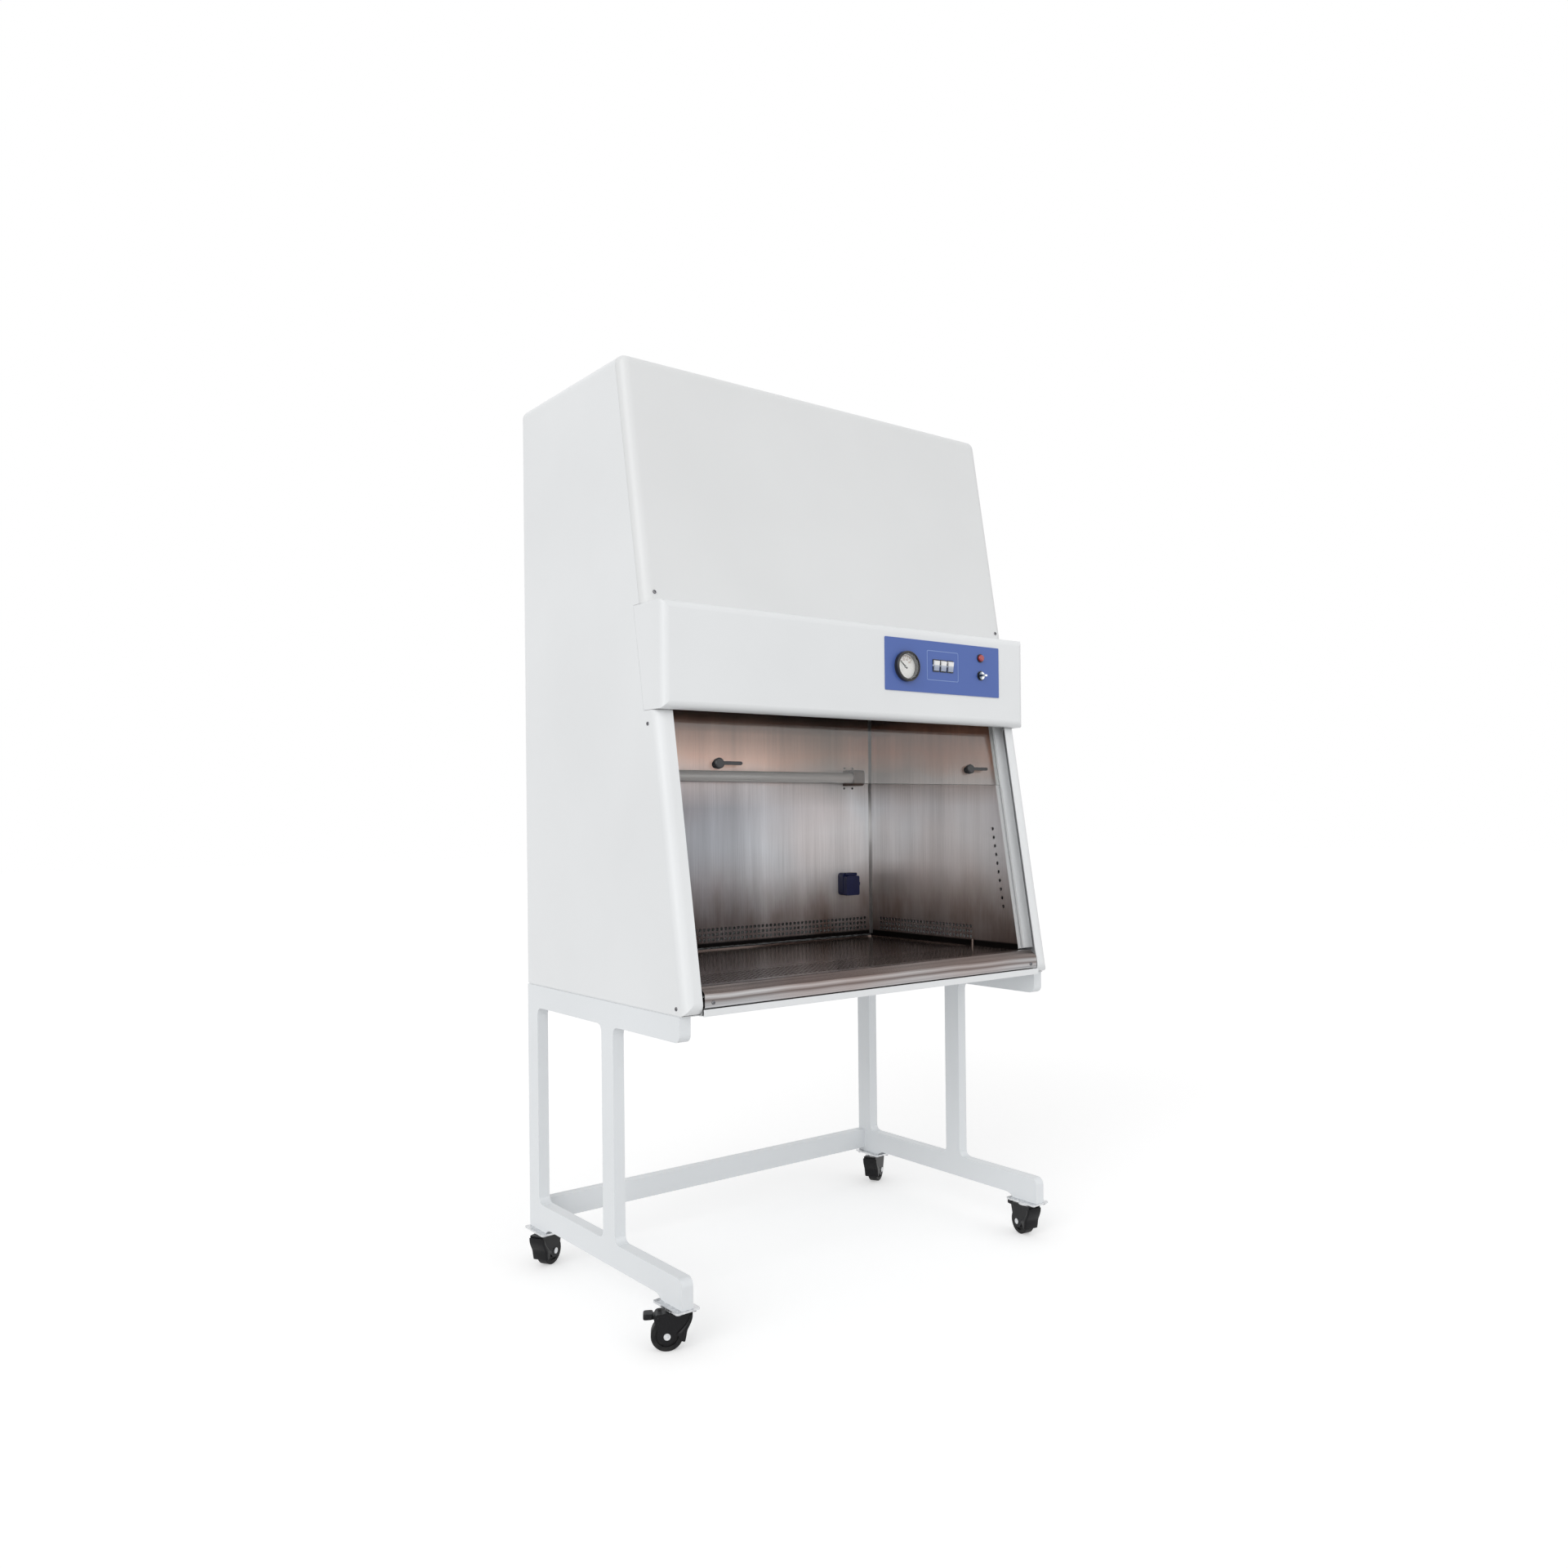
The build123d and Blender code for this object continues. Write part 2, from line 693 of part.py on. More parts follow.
# The gauge: a round case with a rim, the dial on its floor and the pointer's pin on the dial
gauge_face = face_plane(gauge_x, gauge_height, panel_y)
pointer_face = Plane(
    origin=gauge_face.origin,
    x_dir=(cos(radians(pointer_rest)), 0, sin(radians(pointer_rest))),
    z_dir=gauge_face.z_dir,
)
gauge_floor = -gauge_rim
glass_seat = gauge_projection - 1.5 * gauge_glass_thickness
with BuildPart() as gauge_case:
    with BuildSketch(gauge_face):
        Circle(gauge_radius)
    extrude(amount=gauge_projection)
    chamfer(faces().sort_by(Axis.Y)[0].edges(), length=gauge_glass_thickness)
    with BuildSketch(gauge_face):
        Circle(gauge_body_radius)
    extrude(amount=-gauge_case_depth)
    with BuildSketch(gauge_face.offset(gauge_floor)):
        Circle(gauge_body_radius - gauge_glass_thickness)
    extrude(amount=gauge_case_depth, mode=Mode.SUBTRACT)
    with BuildSketch(gauge_face.offset(glass_seat)):
        Circle(gauge_body_radius)
    extrude(amount=gauge_projection, mode=Mode.SUBTRACT)
save(gauge_case.part, "gauge_case")

with BuildPart() as gauge_dial:
    with BuildSketch(gauge_face.offset(gauge_floor)):
        Circle(gauge_body_radius - gauge_glass_thickness)
    extrude(amount=dial_thickness)
    with BuildSketch(gauge_face.offset(gauge_floor)):
        Circle(pointer_pin_radius)
    extrude(amount=dial_thickness + pointer_hub_radius)
save(gauge_dial.part, "gauge_dial")

with BuildPart() as gauge_pointer:
    with BuildSketch(pointer_face.offset(gauge_floor + dial_thickness + face_gap)):
        Circle(pointer_hub_radius)
        with BuildLine():
            Polyline(
                (-pointer_width, -pointer_length / 3),
                (pointer_width, -pointer_length / 3),
                (pointer_width / 3, pointer_length),
                (-pointer_width / 3, pointer_length),
                close=True,
            )
        make_face()
        Circle(pointer_pin_radius + running_gap, mode=Mode.SUBTRACT)
    extrude(amount=pointer_thickness)
save(gauge_pointer.part, "gauge_pointer")

with BuildPart() as gauge_glass:
    with BuildSketch(gauge_face.offset(glass_seat)):
        Circle(gauge_body_radius - running_gap)
    extrude(amount=gauge_glass_thickness)
save(gauge_glass.part, "gauge_glass")

with BuildPart() as switch_frames:
    for place_x, height in rocker_places:
        with BuildSketch(face_plane(place_x, height, panel_y + rocker_radius)):
            Rectangle(frame_width, frame_length)
            Rectangle(rocker_width + 2 * rocker_gap, rocker_length + 2 * rocker_gap, mode=Mode.SUBTRACT)
        extrude(amount=rocker_radius + frame_sheet)
        with BuildSketch(Plane.YZ.offset(place_x - frame_width / 2)):
            with Locations((panel_y, base_z + height)):
                Circle(rocker_pivot_radius + running_gap)
        extrude(amount=frame_width, mode=Mode.SUBTRACT)
    for place_x, height, radius in (
        (key_x, key_height, key_collar_radius),
        (lamp_x, lamp_height, lamp_radius + panel_plate),
    ):
        with BuildSketch(face_plane(place_x, height, panel_y)):
            Circle(radius)
            Circle(radius - panel_plate, mode=Mode.SUBTRACT)
        extrude(amount=panel_plate)
save(switch_frames.part, "switch_frames")

# Each rocker is a drum about its pivot with a flat thumb face, resting tilted one way
for number, (place_x, height) in enumerate(rocker_places, start=1):
    pivot_plane = Plane.YZ.offset(place_x - rocker_width / 2)
    with BuildPart() as rocker:
        with BuildSketch(pivot_plane):
            with Locations(Location((panel_y, base_z + height), rocker_tilt)):
                Circle(rocker_radius)
                with Locations((-rocker_radius - rocker_projection, 0)):
                    Rectangle(2 * rocker_radius, 2 * rocker_radius, mode=Mode.SUBTRACT)
        extrude(amount=rocker_width)
        with BuildSketch(Plane.YZ.offset(place_x - rocker_width / 2 - rocker_gap - frame_sheet)):
            with Locations((panel_y, base_z + height)):
                Circle(rocker_pivot_radius)
        extrude(amount=rocker_width + 2 * rocker_gap + 2 * frame_sheet)
    save(rocker.part, f"rocker_{number}")

key_barrel_radius = key_collar_radius - panel_plate - running_gap
with BuildPart() as key_switch:
    with BuildSketch(face_plane(key_x, key_height, panel_y + gauge_case_depth)):
        Circle(key_barrel_radius)
    extrude(amount=gauge_case_depth + panel_plate + 2 * frame_sheet)
    with BuildSketch(face_plane(key_x, key_height, panel_y)):
        SlotOverall(2 * key_barrel_radius - panel_plate, key_barrel_radius / 2)
    extrude(amount=gauge_projection + 2 * frame_sheet)
save(key_switch.part, "key_switch")

with BuildPart() as indicator_lamp:
    with BuildSketch(face_plane(lamp_x, lamp_height, panel_y + gauge_case_depth)):
        Circle(lamp_radius)
    extrude(amount=gauge_case_depth + lamp_radius)
    fillet(faces().sort_by(Axis.Y)[0].edges(), radius=lamp_radius / 2)
save(indicator_lamp.part, "indicator_lamp")

# ---------------------------------------------------------------- base and work surface
pan_half = chamber_half - pan_gap
apron_y = front_y + 2 * screw_height
pan_front_y = apron_y + apron_return + face_gap
floor_front_y = front_y + panel_bend + panel_sheet
floor_rear_y = body_rear_y - panel_sheet
strip_y = front_y + panel_sheet / 2 + seam
with BuildPart() as base_pan:
    with BuildSketch(Plane.XZ.offset(-floor_rear_y)):
        with Locations((0, base_z + pan_height / 2)):
            Rectangle(2 * pan_half, pan_height)
        with Locations((0, base_z + pan_height / 2)):
            Rectangle(2 * (pan_half - panel_sheet), pan_height - 2 * panel_sheet, mode=Mode.SUBTRACT)
        with Locations((0, base_z + pan_height)):
            Rectangle(2 * (pan_half - pan_lip), 3 * panel_sheet, mode=Mode.SUBTRACT)
    extrude(amount=floor_rear_y - pan_front_y)
    # Floor sheet: it closes the hollow side walls from below and carries the front strip
    with BuildSketch(Plane.XY.offset(base_z)):
        with Locations((0, (floor_front_y + floor_rear_y) / 2)):
            Rectangle(2 * (half_width - panel_sheet), floor_rear_y - floor_front_y)
        with Locations((0, (strip_y + floor_front_y) / 2)):
            Rectangle(middle_panel_width, floor_front_y - strip_y)
    extrude(amount=panel_sheet)
    with BuildSketch(Plane.XY.offset(base_z)):
        with Locations((0, strip_y)):
            Rectangle(middle_panel_width, panel_sheet)
    extrude(amount=apron_foot - seam)
save(base_pan.part, "base_pan")


surface_half = pan_half - surface_side_gap
grille_front_y = front_y + grille_setback
grille_rear_y = grille_front_y + grille_depth
tray_front_y = grille_rear_y + tray_gap
tray_rear_y = wall_y - tray_gap
tray_middle_y = (tray_front_y + tray_rear_y) / 2
tray_length = tray_rear_y - tray_front_y
with BuildPart() as work_tray:
    with BuildSketch(Plane.XY.offset(base_z + pan_height + face_gap)):
        with Locations((0, tray_middle_y)):
            Rectangle(2 * surface_half, tray_length)
    extrude(amount=work_height - pan_height - face_gap)
    with BuildSketch(Plane.XY.offset(base_z + work_height)):
        with Locations((0, tray_middle_y)):
            RectangleRounded(2 * (surface_half - tray_rim), tray_length - 2 * tray_rim, tray_rim)
    extrude(amount=-tray_recess, mode=Mode.SUBTRACT)
    with BuildSketch(Plane.XY.offset(base_z + pan_height)):
        with Locations((0, tray_middle_y)):
            Rectangle(2 * (surface_half - liner_sheet), tray_length - 2 * liner_sheet)
    extrude(amount=work_height - tray_recess - liner_sheet - pan_height, mode=Mode.SUBTRACT)

# Pegs to lift the tray by, pressed onto its rim
with BuildPart() as tray_pegs:
    with BuildSketch(Plane.XY.offset(base_z + work_height)):
        with Locations((0, tray_front_y + tray_rim / 2)):
            with GridLocations(2 * surface_half - tray_rim, 1, 2, 1):
                Circle(peg_radius)
    extrude(amount=peg_height)
save(Compound(work_tray.solids() + tray_pegs.solids()), "work_tray")

grille_middle_y = grille_rear_y - grille_depth / 2
grille_columns = int((2 * surface_half - 2 * tray_rim) / grille_pitch)
grille_rows = int((grille_depth - tray_rim) / grille_row_pitch)
with BuildPart() as front_grille:
    with BuildSketch(Plane.XY.offset(base_z + pan_height)):
        with Locations((0, grille_middle_y)):
            Rectangle(2 * surface_half, grille_depth)
    extrude(amount=work_height - pan_height)
    with BuildSketch(Plane.XY.offset(base_z + pan_height)):
        with Locations((0, grille_middle_y)):
            Rectangle(2 * (surface_half - liner_sheet), grille_depth - 2 * liner_sheet)
    extrude(amount=work_height - liner_sheet - pan_height, mode=Mode.SUBTRACT)
    with BuildSketch(Plane.XY.offset(base_z + work_height - liner_sheet)):
        with Locations((0, grille_middle_y)):
            with GridLocations(grille_pitch, grille_row_pitch, grille_columns, grille_rows):
                RegularPolygon(hole_radius, 6)
    extrude(amount=liner_sheet, mode=Mode.SUBTRACT)
save(front_grille.part, "front_grille")

lip_top_height = work_height + lip_rise
with BuildPart() as front_lip:
    with BuildSketch(Plane.YZ.offset(-surface_half)):
        with BuildLine():
            FilletPolyline(
                (grille_front_y, base_z + pan_height + seam),
                (grille_front_y, base_z + lip_top_height),
                (grille_front_y - lip_depth, base_z + lip_top_height),
                (apron_y, base_z + lip_top_height - lip_slope_drop),
                (apron_y, base_z + apron_foot),
                (apron_y + apron_return, base_z + apron_foot),
                radius=lip_bend,
            )
            offset(amount=liner_sheet, side=Side.LEFT)
        make_face()
    extrude(amount=2 * surface_half)
save(front_lip.part, "front_lip")

# ---------------------------------------------------------------- work chamber
side_row_length = wall_y - side_strip_wall_gap - tray_front_y
rear_row_columns = int((chamber_width - 2 * tray_rim) / hole_pitch)
side_row_columns = int(side_row_length / hole_pitch)
wall_bottom = work_height + tray_gap
wall_height = chamber_ceiling_height - wall_bottom
row_middle_height = hole_row_height + hole_row_pitch / 2
with BuildPart() as chamber_rear_wall:
    with BuildSketch(face_plane(0, wall_bottom + wall_height / 2, wall_y + liner_sheet)):
        Rectangle(chamber_width, wall_height)
    extrude(amount=liner_sheet)
    with BuildSketch(face_plane(0, row_middle_height, wall_y + liner_sheet)):
        with GridLocations(hole_pitch, hole_row_pitch, rear_row_columns, hole_rows):
            RegularPolygon(hole_radius, 6)
    extrude(amount=liner_sheet, mode=Mode.SUBTRACT)
save(chamber_rear_wall.part, "chamber_rear_wall")

with BuildPart() as chamber_side_walls:
    with BuildSketch(Plane.YZ.offset(chamber_half)):
        with BuildLine():
            Polyline(
                (wall_y + liner_sheet, base_z + panel_sheet),
                (slope_y(panel_sheet, track_rear_inset), base_z + panel_sheet),
                (slope_y(chamber_ceiling_height, track_rear_inset), base_z + chamber_ceiling_height),
                (wall_y + liner_sheet, base_z + chamber_ceiling_height),
                close=True,
            )
        make_face()
        with Locations((tray_front_y + side_row_length / 2, base_z + row_middle_height)):
            with GridLocations(hole_pitch, hole_row_pitch, side_row_columns, hole_rows):
                RegularPolygon(hole_radius, 6, mode=Mode.SUBTRACT)
        for step in range(side_column_count):
            hole_height = side_column_low + step * (side_column_high - side_column_low) / (side_column_count - 1)
            with Locations((slope_y(hole_height, side_column_inset), base_z + hole_height)):
                RegularPolygon(hole_radius, 6, mode=Mode.SUBTRACT)
    extrude(amount=liner_sheet)
    mirror(about=Plane.YZ)
save(chamber_side_walls.part, "chamber_side_walls")

ceiling_front_y = slope_y(chamber_ceiling_height, plenum_inset)
ceiling_depth = wall_y - ceiling_front_y
ceiling_z = base_z + chamber_ceiling_height
diffuser_columns = int(chamber_width / diffuser_pitch_x) - 1
diffuser_rows = int(ceiling_depth / diffuser_pitch_y) - 1
with BuildPart() as chamber_ceiling:
    with BuildSketch(Plane.XY.offset(ceiling_z)):
        with Locations((0, wall_y - ceiling_depth / 2)):
            Rectangle(chamber_width, ceiling_depth)
            with GridLocations(diffuser_pitch_x, diffuser_pitch_y, diffuser_columns, diffuser_rows):
                Rectangle(diffuser_slot_width, diffuser_slot_length, mode=Mode.SUBTRACT)
    extrude(amount=liner_sheet)
save(chamber_ceiling.part, "chamber_ceiling")

# ---------------------------------------------------------------- sash
track_depth = track_rear_inset - track_front_inset
track_bottom = lip_top_height + slide_gap + track_depth * sin(slope)
track_top = cabinet_height - panel_bend - tube_width
track_mouth = half_width - track_mouth_inset
track_back = half_width - track_back_inset
track_length = (track_top - track_bottom) / cos(slope)
with BuildPart() as sash_tracks:
    with BuildSketch(slope_plane(track_bottom, track_front_inset)):
        with Locations(((track_mouth + track_back) / 2, track_length / 2)):
            Rectangle(track_back - track_mouth, track_length)
    extrude(amount=-track_depth)
    with BuildSketch(slope_plane(track_bottom, sash_inset - slide_gap)):
        with Locations(((track_mouth + track_back) / 2 - track_sheet, track_length / 2)):
            Rectangle(track_back - track_mouth, 2 * track_length)
    extrude(amount=-(sash_thickness + 2 * slide_gap), mode=Mode.SUBTRACT)
    mirror(about=Plane.YZ)
save(sash_tracks.part, "sash_tracks")

glass_half = track_back - track_sheet - glass_side_gap
sash_face = slope_plane(sash_bottom_height, sash_inset)
lever_x = half_width - lever_inset
lever_places = [(-lever_x, lever_rise), (lever_x, lever_rise)]
with BuildPart() as sash_glass:
    with BuildSketch(sash_face):
        with Locations((0, sash_length / 2)):
            Rectangle(2 * glass_half, sash_length)
        with Locations(*lever_places):
            Circle(lever_stem_radius + running_gap, mode=Mode.SUBTRACT)
    extrude(amount=-sash_thickness)
save(sash_glass.part, "sash_glass")

for name, place in zip(("sash_lever_left", "sash_lever_right"), lever_places):
    with BuildPart() as sash_lever:
        with BuildSketch(sash_face.offset(face_gap)):
            with Locations(place):
                Circle(lever_knob_radius)
        extrude(amount=lever_knob_height)
        chamfer(edges().filter_by(GeomType.CIRCLE), length=lever_bar_thickness / 2)
        with BuildSketch(sash_face.offset(face_gap + lever_knob_height - lever_bar_thickness)):
            with Locations((place[0] + lever_bar_length / 2, place[1])):
                SlotOverall(lever_bar_length + lever_bar_width, lever_bar_width)
        extrude(amount=lever_bar_thickness)
        with BuildSketch(sash_face.offset(-sash_thickness - face_gap - lever_bar_thickness)):
            with Locations(place):
                Circle(lever_stem_radius)
        extrude(amount=sash_thickness + 3 * face_gap + lever_bar_thickness)
        with BuildSketch(sash_face.offset(-sash_thickness - face_gap - lever_bar_thickness)):
            with Locations(place):
                Circle(2 * lever_stem_radius)
        extrude(amount=lever_bar_thickness)
    save(sash_lever.part, name)

# ---------------------------------------------------------------- lamps
uv_tube_length = chamber_width - 2 * uv_tube_end_space
work_lamp_length = chamber_width - 2 * work_lamp_end_space
uv_y = wall_y - uv_stand_off
uv_holder_depth = uv_stand_off + tube_radius + panel_sheet
uv_holder_x = uv_tube_length / 2 - holder_width / 2 + panel_sheet
lamp_z = base_z + work_lamp_height
lamp_y = console_y + console_bend + tube_radius + 2 * panel_sheet
lamp_holder_inner = work_lamp_length / 2 - panel_sheet
lamp_holder_outer = half_width - panel_sheet

with BuildPart() as uv_tube:
    with BuildSketch(Plane.YZ.offset(-uv_tube_length / 2)):
        with Locations((uv_y, base_z + uv_height)):
            Circle(tube_radius)
    extrude(amount=uv_tube_length)
save(uv_tube.part, "uv_tube")

with BuildPart() as work_lamp:
    with BuildSketch(Plane.YZ.offset(-work_lamp_length / 2)):
        with Locations((lamp_y, lamp_z)):
            Circle(tube_radius)
    extrude(amount=work_lamp_length)
save(work_lamp.part, "work_lamp")

with BuildPart() as lamp_holders:
    with BuildSketch(face_plane(0, uv_height, wall_y)):
        with GridLocations(2 * uv_holder_x, 1, 2, 1):
            Rectangle(holder_width, holder_height)
    extrude(amount=uv_holder_depth)
    fillet(edges().filter_by(Axis.X).group_by(Axis.Y)[0], radius=panel_bend / 2)
    with BuildSketch(Plane.YZ.offset(lamp_holder_inner)):
        with Locations((lamp_y, lamp_z)):
            RectangleRounded(2 * tube_radius + 2 * panel_sheet, holder_height, panel_sheet)
    extrude(amount=lamp_holder_outer - lamp_holder_inner)
    with BuildSketch(Plane.YZ.offset(-lamp_holder_outer)):
        with Locations((lamp_y, lamp_z)):
            RectangleRounded(2 * tube_radius + 2 * panel_sheet, holder_height, panel_sheet)
    extrude(amount=lamp_holder_outer - lamp_holder_inner)
    for socket_y, socket_z, length in (
        (uv_y, base_z + uv_height, uv_tube_length),
        (lamp_y, lamp_z, work_lamp_length),
    ):
        with BuildSketch(Plane.YZ):
            with Locations((socket_y, socket_z)):
                Circle(tube_radius + face_gap)
        extrude(amount=length / 2, both=True, mode=Mode.SUBTRACT)
save(lamp_holders.part, "lamp_holders")

# ---------------------------------------------------------------- socket in the chamber
socket_x = chamber_half - socket_side_space
socket_plane = face_plane(socket_x, socket_height, wall_y)
hinge_up = socket_length / 2 - socket_hinge_radius
hinge_out = socket_depth + socket_hinge_radius + face_gap
hinge_length = socket_width / 2
with BuildPart() as socket_body:
    with BuildSketch(socket_plane):
        Rectangle(socket_width, socket_length)
        fillet(vertices().group_by(Axis.Z)[-1], radius=socket_corner)
    extrude(amount=socket_depth)
    with BuildSketch(socket_plane.offset(socket_depth)):
        Circle(socket_width / 2 - 2 * panel_sheet)
    extrude(amount=-(socket_depth - 2 * panel_sheet), mode=Mode.SUBTRACT)
    # Hinge ears beside the lid's knuckle
    with BuildSketch(Plane.YZ.offset(socket_x - socket_width / 2 + socket_corner / 2)):
        with Locations((wall_y - hinge_out, base_z + socket_height + hinge_up)):
            Circle(socket_hinge_radius)
        with Locations((wall_y - socket_depth - socket_hinge_radius / 2, base_z + socket_height + hinge_up)):
            Rectangle(socket_hinge_radius + face_gap, 2 * socket_hinge_radius)
    extrude(amount=socket_width - socket_corner)
    with BuildSketch(Plane.YZ.offset(socket_x - hinge_length / 2 - face_gap)):
        with Locations((wall_y - hinge_out - face_gap, base_z + socket_height + hinge_up)):
            Rectangle(2 * socket_hinge_radius + 2 * face_gap, 4 * socket_hinge_radius)
    extrude(amount=hinge_length + 2 * face_gap, mode=Mode.SUBTRACT)
    with BuildSketch(Plane.YZ.offset(socket_x - socket_width / 2)):
        with Locations((wall_y - hinge_out, base_z + socket_height + hinge_up)):
            Circle(pointer_pin_radius + running_gap)
    extrude(amount=socket_width, mode=Mode.SUBTRACT)
save(socket_body.part, "socket_body")

lid_top_up = hinge_up - socket_hinge_radius - face_gap
lid_length = socket_length / 2 + lid_top_up
with BuildPart() as socket_lid:
    with BuildSketch(socket_plane.offset(socket_depth + face_gap)):
        with Locations((0, lid_top_up - lid_length / 2)):
            RectangleRounded(socket_width - panel_sheet, lid_length, socket_corner / 2)
    extrude(amount=socket_lid_depth)
    with BuildSketch(socket_plane.offset(socket_depth + face_gap)):
        with Locations((0, 0)):
            Rectangle(hinge_length, 2 * (hinge_up + face_gap))
    extrude(amount=2 * socket_hinge_radius - 2 * face_gap)
    with BuildSketch(Plane.YZ.offset(socket_x - hinge_length / 2)):
        with Locations((wall_y - hinge_out, base_z + socket_height + hinge_up)):
            Circle(socket_hinge_radius)
    extrude(amount=hinge_length)
    with BuildSketch(Plane.YZ.offset(socket_x - socket_width / 2 + socket_corner / 2)):
        with Locations((wall_y - hinge_out, base_z + socket_height + hinge_up)):
            Circle(pointer_pin_radius)
    extrude(amount=socket_width - socket_corner)
    # Thumb latch on the lid's right edge
    with BuildSketch(socket_plane.offset(socket_depth + face_gap)):
        with Locations((socket_width / 2 + panel_sheet, 0)):
            RectangleRounded(socket_corner, socket_corner, panel_sheet)
    extrude(amount=socket_lid_depth / 2)
save(socket_lid.part, "socket_lid")

# ---------------------------------------------------------------- air system
filter_bottom = chamber_ceiling_height + liner_sheet
supply_front_y = slope_y(filter_bottom + filter_height, plenum_inset + liner_sheet) + panel_sheet
supply_depth = wall_y - panel_sheet - supply_front_y


filter_boxes = [
    (chamber_width - 4 * panel_sheet, supply_depth, wall_y - panel_sheet - supply_depth / 2, filter_bottom),
    (exhaust_filter_width, exhaust_filter_depth, exhaust_filter_y, plenum_top),
]
with BuildPart() as filters:
    # Each is an outer frame with the pleated pack set back at both faces
    for width, depth, centre_y, bottom in filter_boxes:
        with BuildSketch(Plane.XY.offset(base_z + bottom)):
            with Locations((0, centre_y)):
                Rectangle(width, depth)
        extrude(amount=filter_height)
        for level, inward in ((bottom, 1), (bottom + filter_height, -1)):
            with BuildSketch(Plane.XY.offset(base_z + level)):
                with Locations((0, centre_y)):
                    Rectangle(width - 2 * filter_frame, depth - 2 * filter_frame)
            extrude(amount=inward * filter_recess, mode=Mode.SUBTRACT)
save(filters.part, "filters")


def plenum_block(inset):
    """The pressure box over the chamber, every face moved inwards by inset."""
    with BuildPart() as block:
        with BuildSketch(Plane.YZ.offset(-(chamber_half - inset))):
            with BuildLine():
                Polyline(
                    (wall_y + liner_sheet - inset, base_z + filter_bottom),
                    (slope_y(filter_bottom, plenum_inset + inset), base_z + filter_bottom),
                    (slope_y(plenum_top - inset, plenum_inset + inset), base_z + plenum_top - inset),
                    (wall_y + liner_sheet - inset, base_z + plenum_top - inset),
                    close=True,
                )
            make_face()
        extrude(amount=chamber_width - 2 * inset)
    return block.part


with BuildPart() as plenum_box:
    add(plenum_block(0))
    add(plenum_block(liner_sheet), mode=Mode.SUBTRACT)
    with BuildSketch(Plane.XY.offset(base_z + plenum_top)):
        with Locations((0, exhaust_filter_y)):
            Rectangle(exhaust_filter_width - 2 * filter_frame, exhaust_filter_depth - 2 * filter_frame)
    extrude(amount=-2 * liner_sheet, mode=Mode.SUBTRACT)
save(plenum_box.part, "plenum_box")

# Scroll housing: half-round arcs that grow towards the outlet at the bottom rear
scroll_z = base_z + scroll_height


def scroll_profile(inset, foot):
    """Outline (y, z) of the blower's scroll, from the cut-off round to the outlet."""
    near = scroll_radius - scroll_growth - inset
    far = scroll_radius - inset
    with BuildLine() as outline:
        ThreePointArc(
            (scroll_y - near, scroll_z),
            (scroll_y, scroll_z + (near + far) / 2),
            (scroll_y + far, scroll_z),
        )
        Polyline(
            (scroll_y + far, scroll_z),
            (scroll_y + far, scroll_z - scroll_radius - foot),
            (scroll_y + inset, scroll_z - scroll_radius - foot),
            (scroll_y + inset, scroll_z - near),
        )
        ThreePointArc(
            (scroll_y + inset, scroll_z - near),
            (scroll_y + inset - (near + inset) * sin(radians(45)), scroll_z - near * sin(radians(45))),
            (scroll_y - near, scroll_z),
        )
    return outline.line


with BuildPart() as blower_housing:
    with BuildSketch(Plane.YZ.offset(-scroll_width / 2)):
        with BuildLine():
            add(scroll_profile(0, 0))
        make_face()
    extrude(amount=scroll_width)
    with BuildSketch(Plane.YZ.offset(-scroll_width / 2 + panel_sheet)):
        with BuildLine():
            add(scroll_profile(panel_sheet, panel_bend))
        make_face()
    extrude(amount=scroll_width - 2 * panel_sheet, mode=Mode.SUBTRACT)
    with BuildSketch(Plane.YZ):
        with Locations((scroll_y, scroll_z)):
            Circle(inlet_radius)
    extrude(amount=scroll_width, both=True, mode=Mode.SUBTRACT)
    # Brackets from the scroll's back to the rear wall of the pressure box
    with BuildSketch(face_plane(0, scroll_height, wall_y)):
        with GridLocations(scroll_width - blower_foot, scroll_radius, 2, 2):
            Rectangle(blower_foot, blower_foot)
    extrude(until=Until.NEXT)
save(blower_housing.part, "blower_housing")

impeller_left = -impeller_width / 2
blade_ring = impeller_radius - blade_chord / 2
with BuildPart() as blower_impeller:
    # Back plate in the middle, a ring at each end and the hub on the shaft
    for start, thickness, inner in (
        (impeller_left, panel_sheet, impeller_radius - impeller_ring),
        (-panel_sheet / 2, panel_sheet, shaft_radius + running_gap),
        (-impeller_left - panel_sheet, panel_sheet, impeller_radius - impeller_ring),
    ):
        with BuildSketch(Plane.YZ.offset(start)):
            with Locations((scroll_y, scroll_z)):
                Circle(impeller_radius)
                Circle(inner, mode=Mode.SUBTRACT)
        extrude(amount=thickness)
    with BuildSketch(Plane.YZ.offset(-hub_length)):
        with Locations((scroll_y, scroll_z)):
            Circle(hub_radius)
            Circle(shaft_radius + running_gap, mode=Mode.SUBTRACT)
    extrude(amount=hub_length)
    with BuildSketch(Plane.YZ.offset(impeller_left)):
        with Locations((scroll_y, scroll_z)):
            with PolarLocations(blade_ring, blade_count):
                Rectangle(blade_chord / 2, blade_thickness, rotation=blade_angle)
    extrude(amount=impeller_width)
save(blower_impeller.part, "blower_impeller")

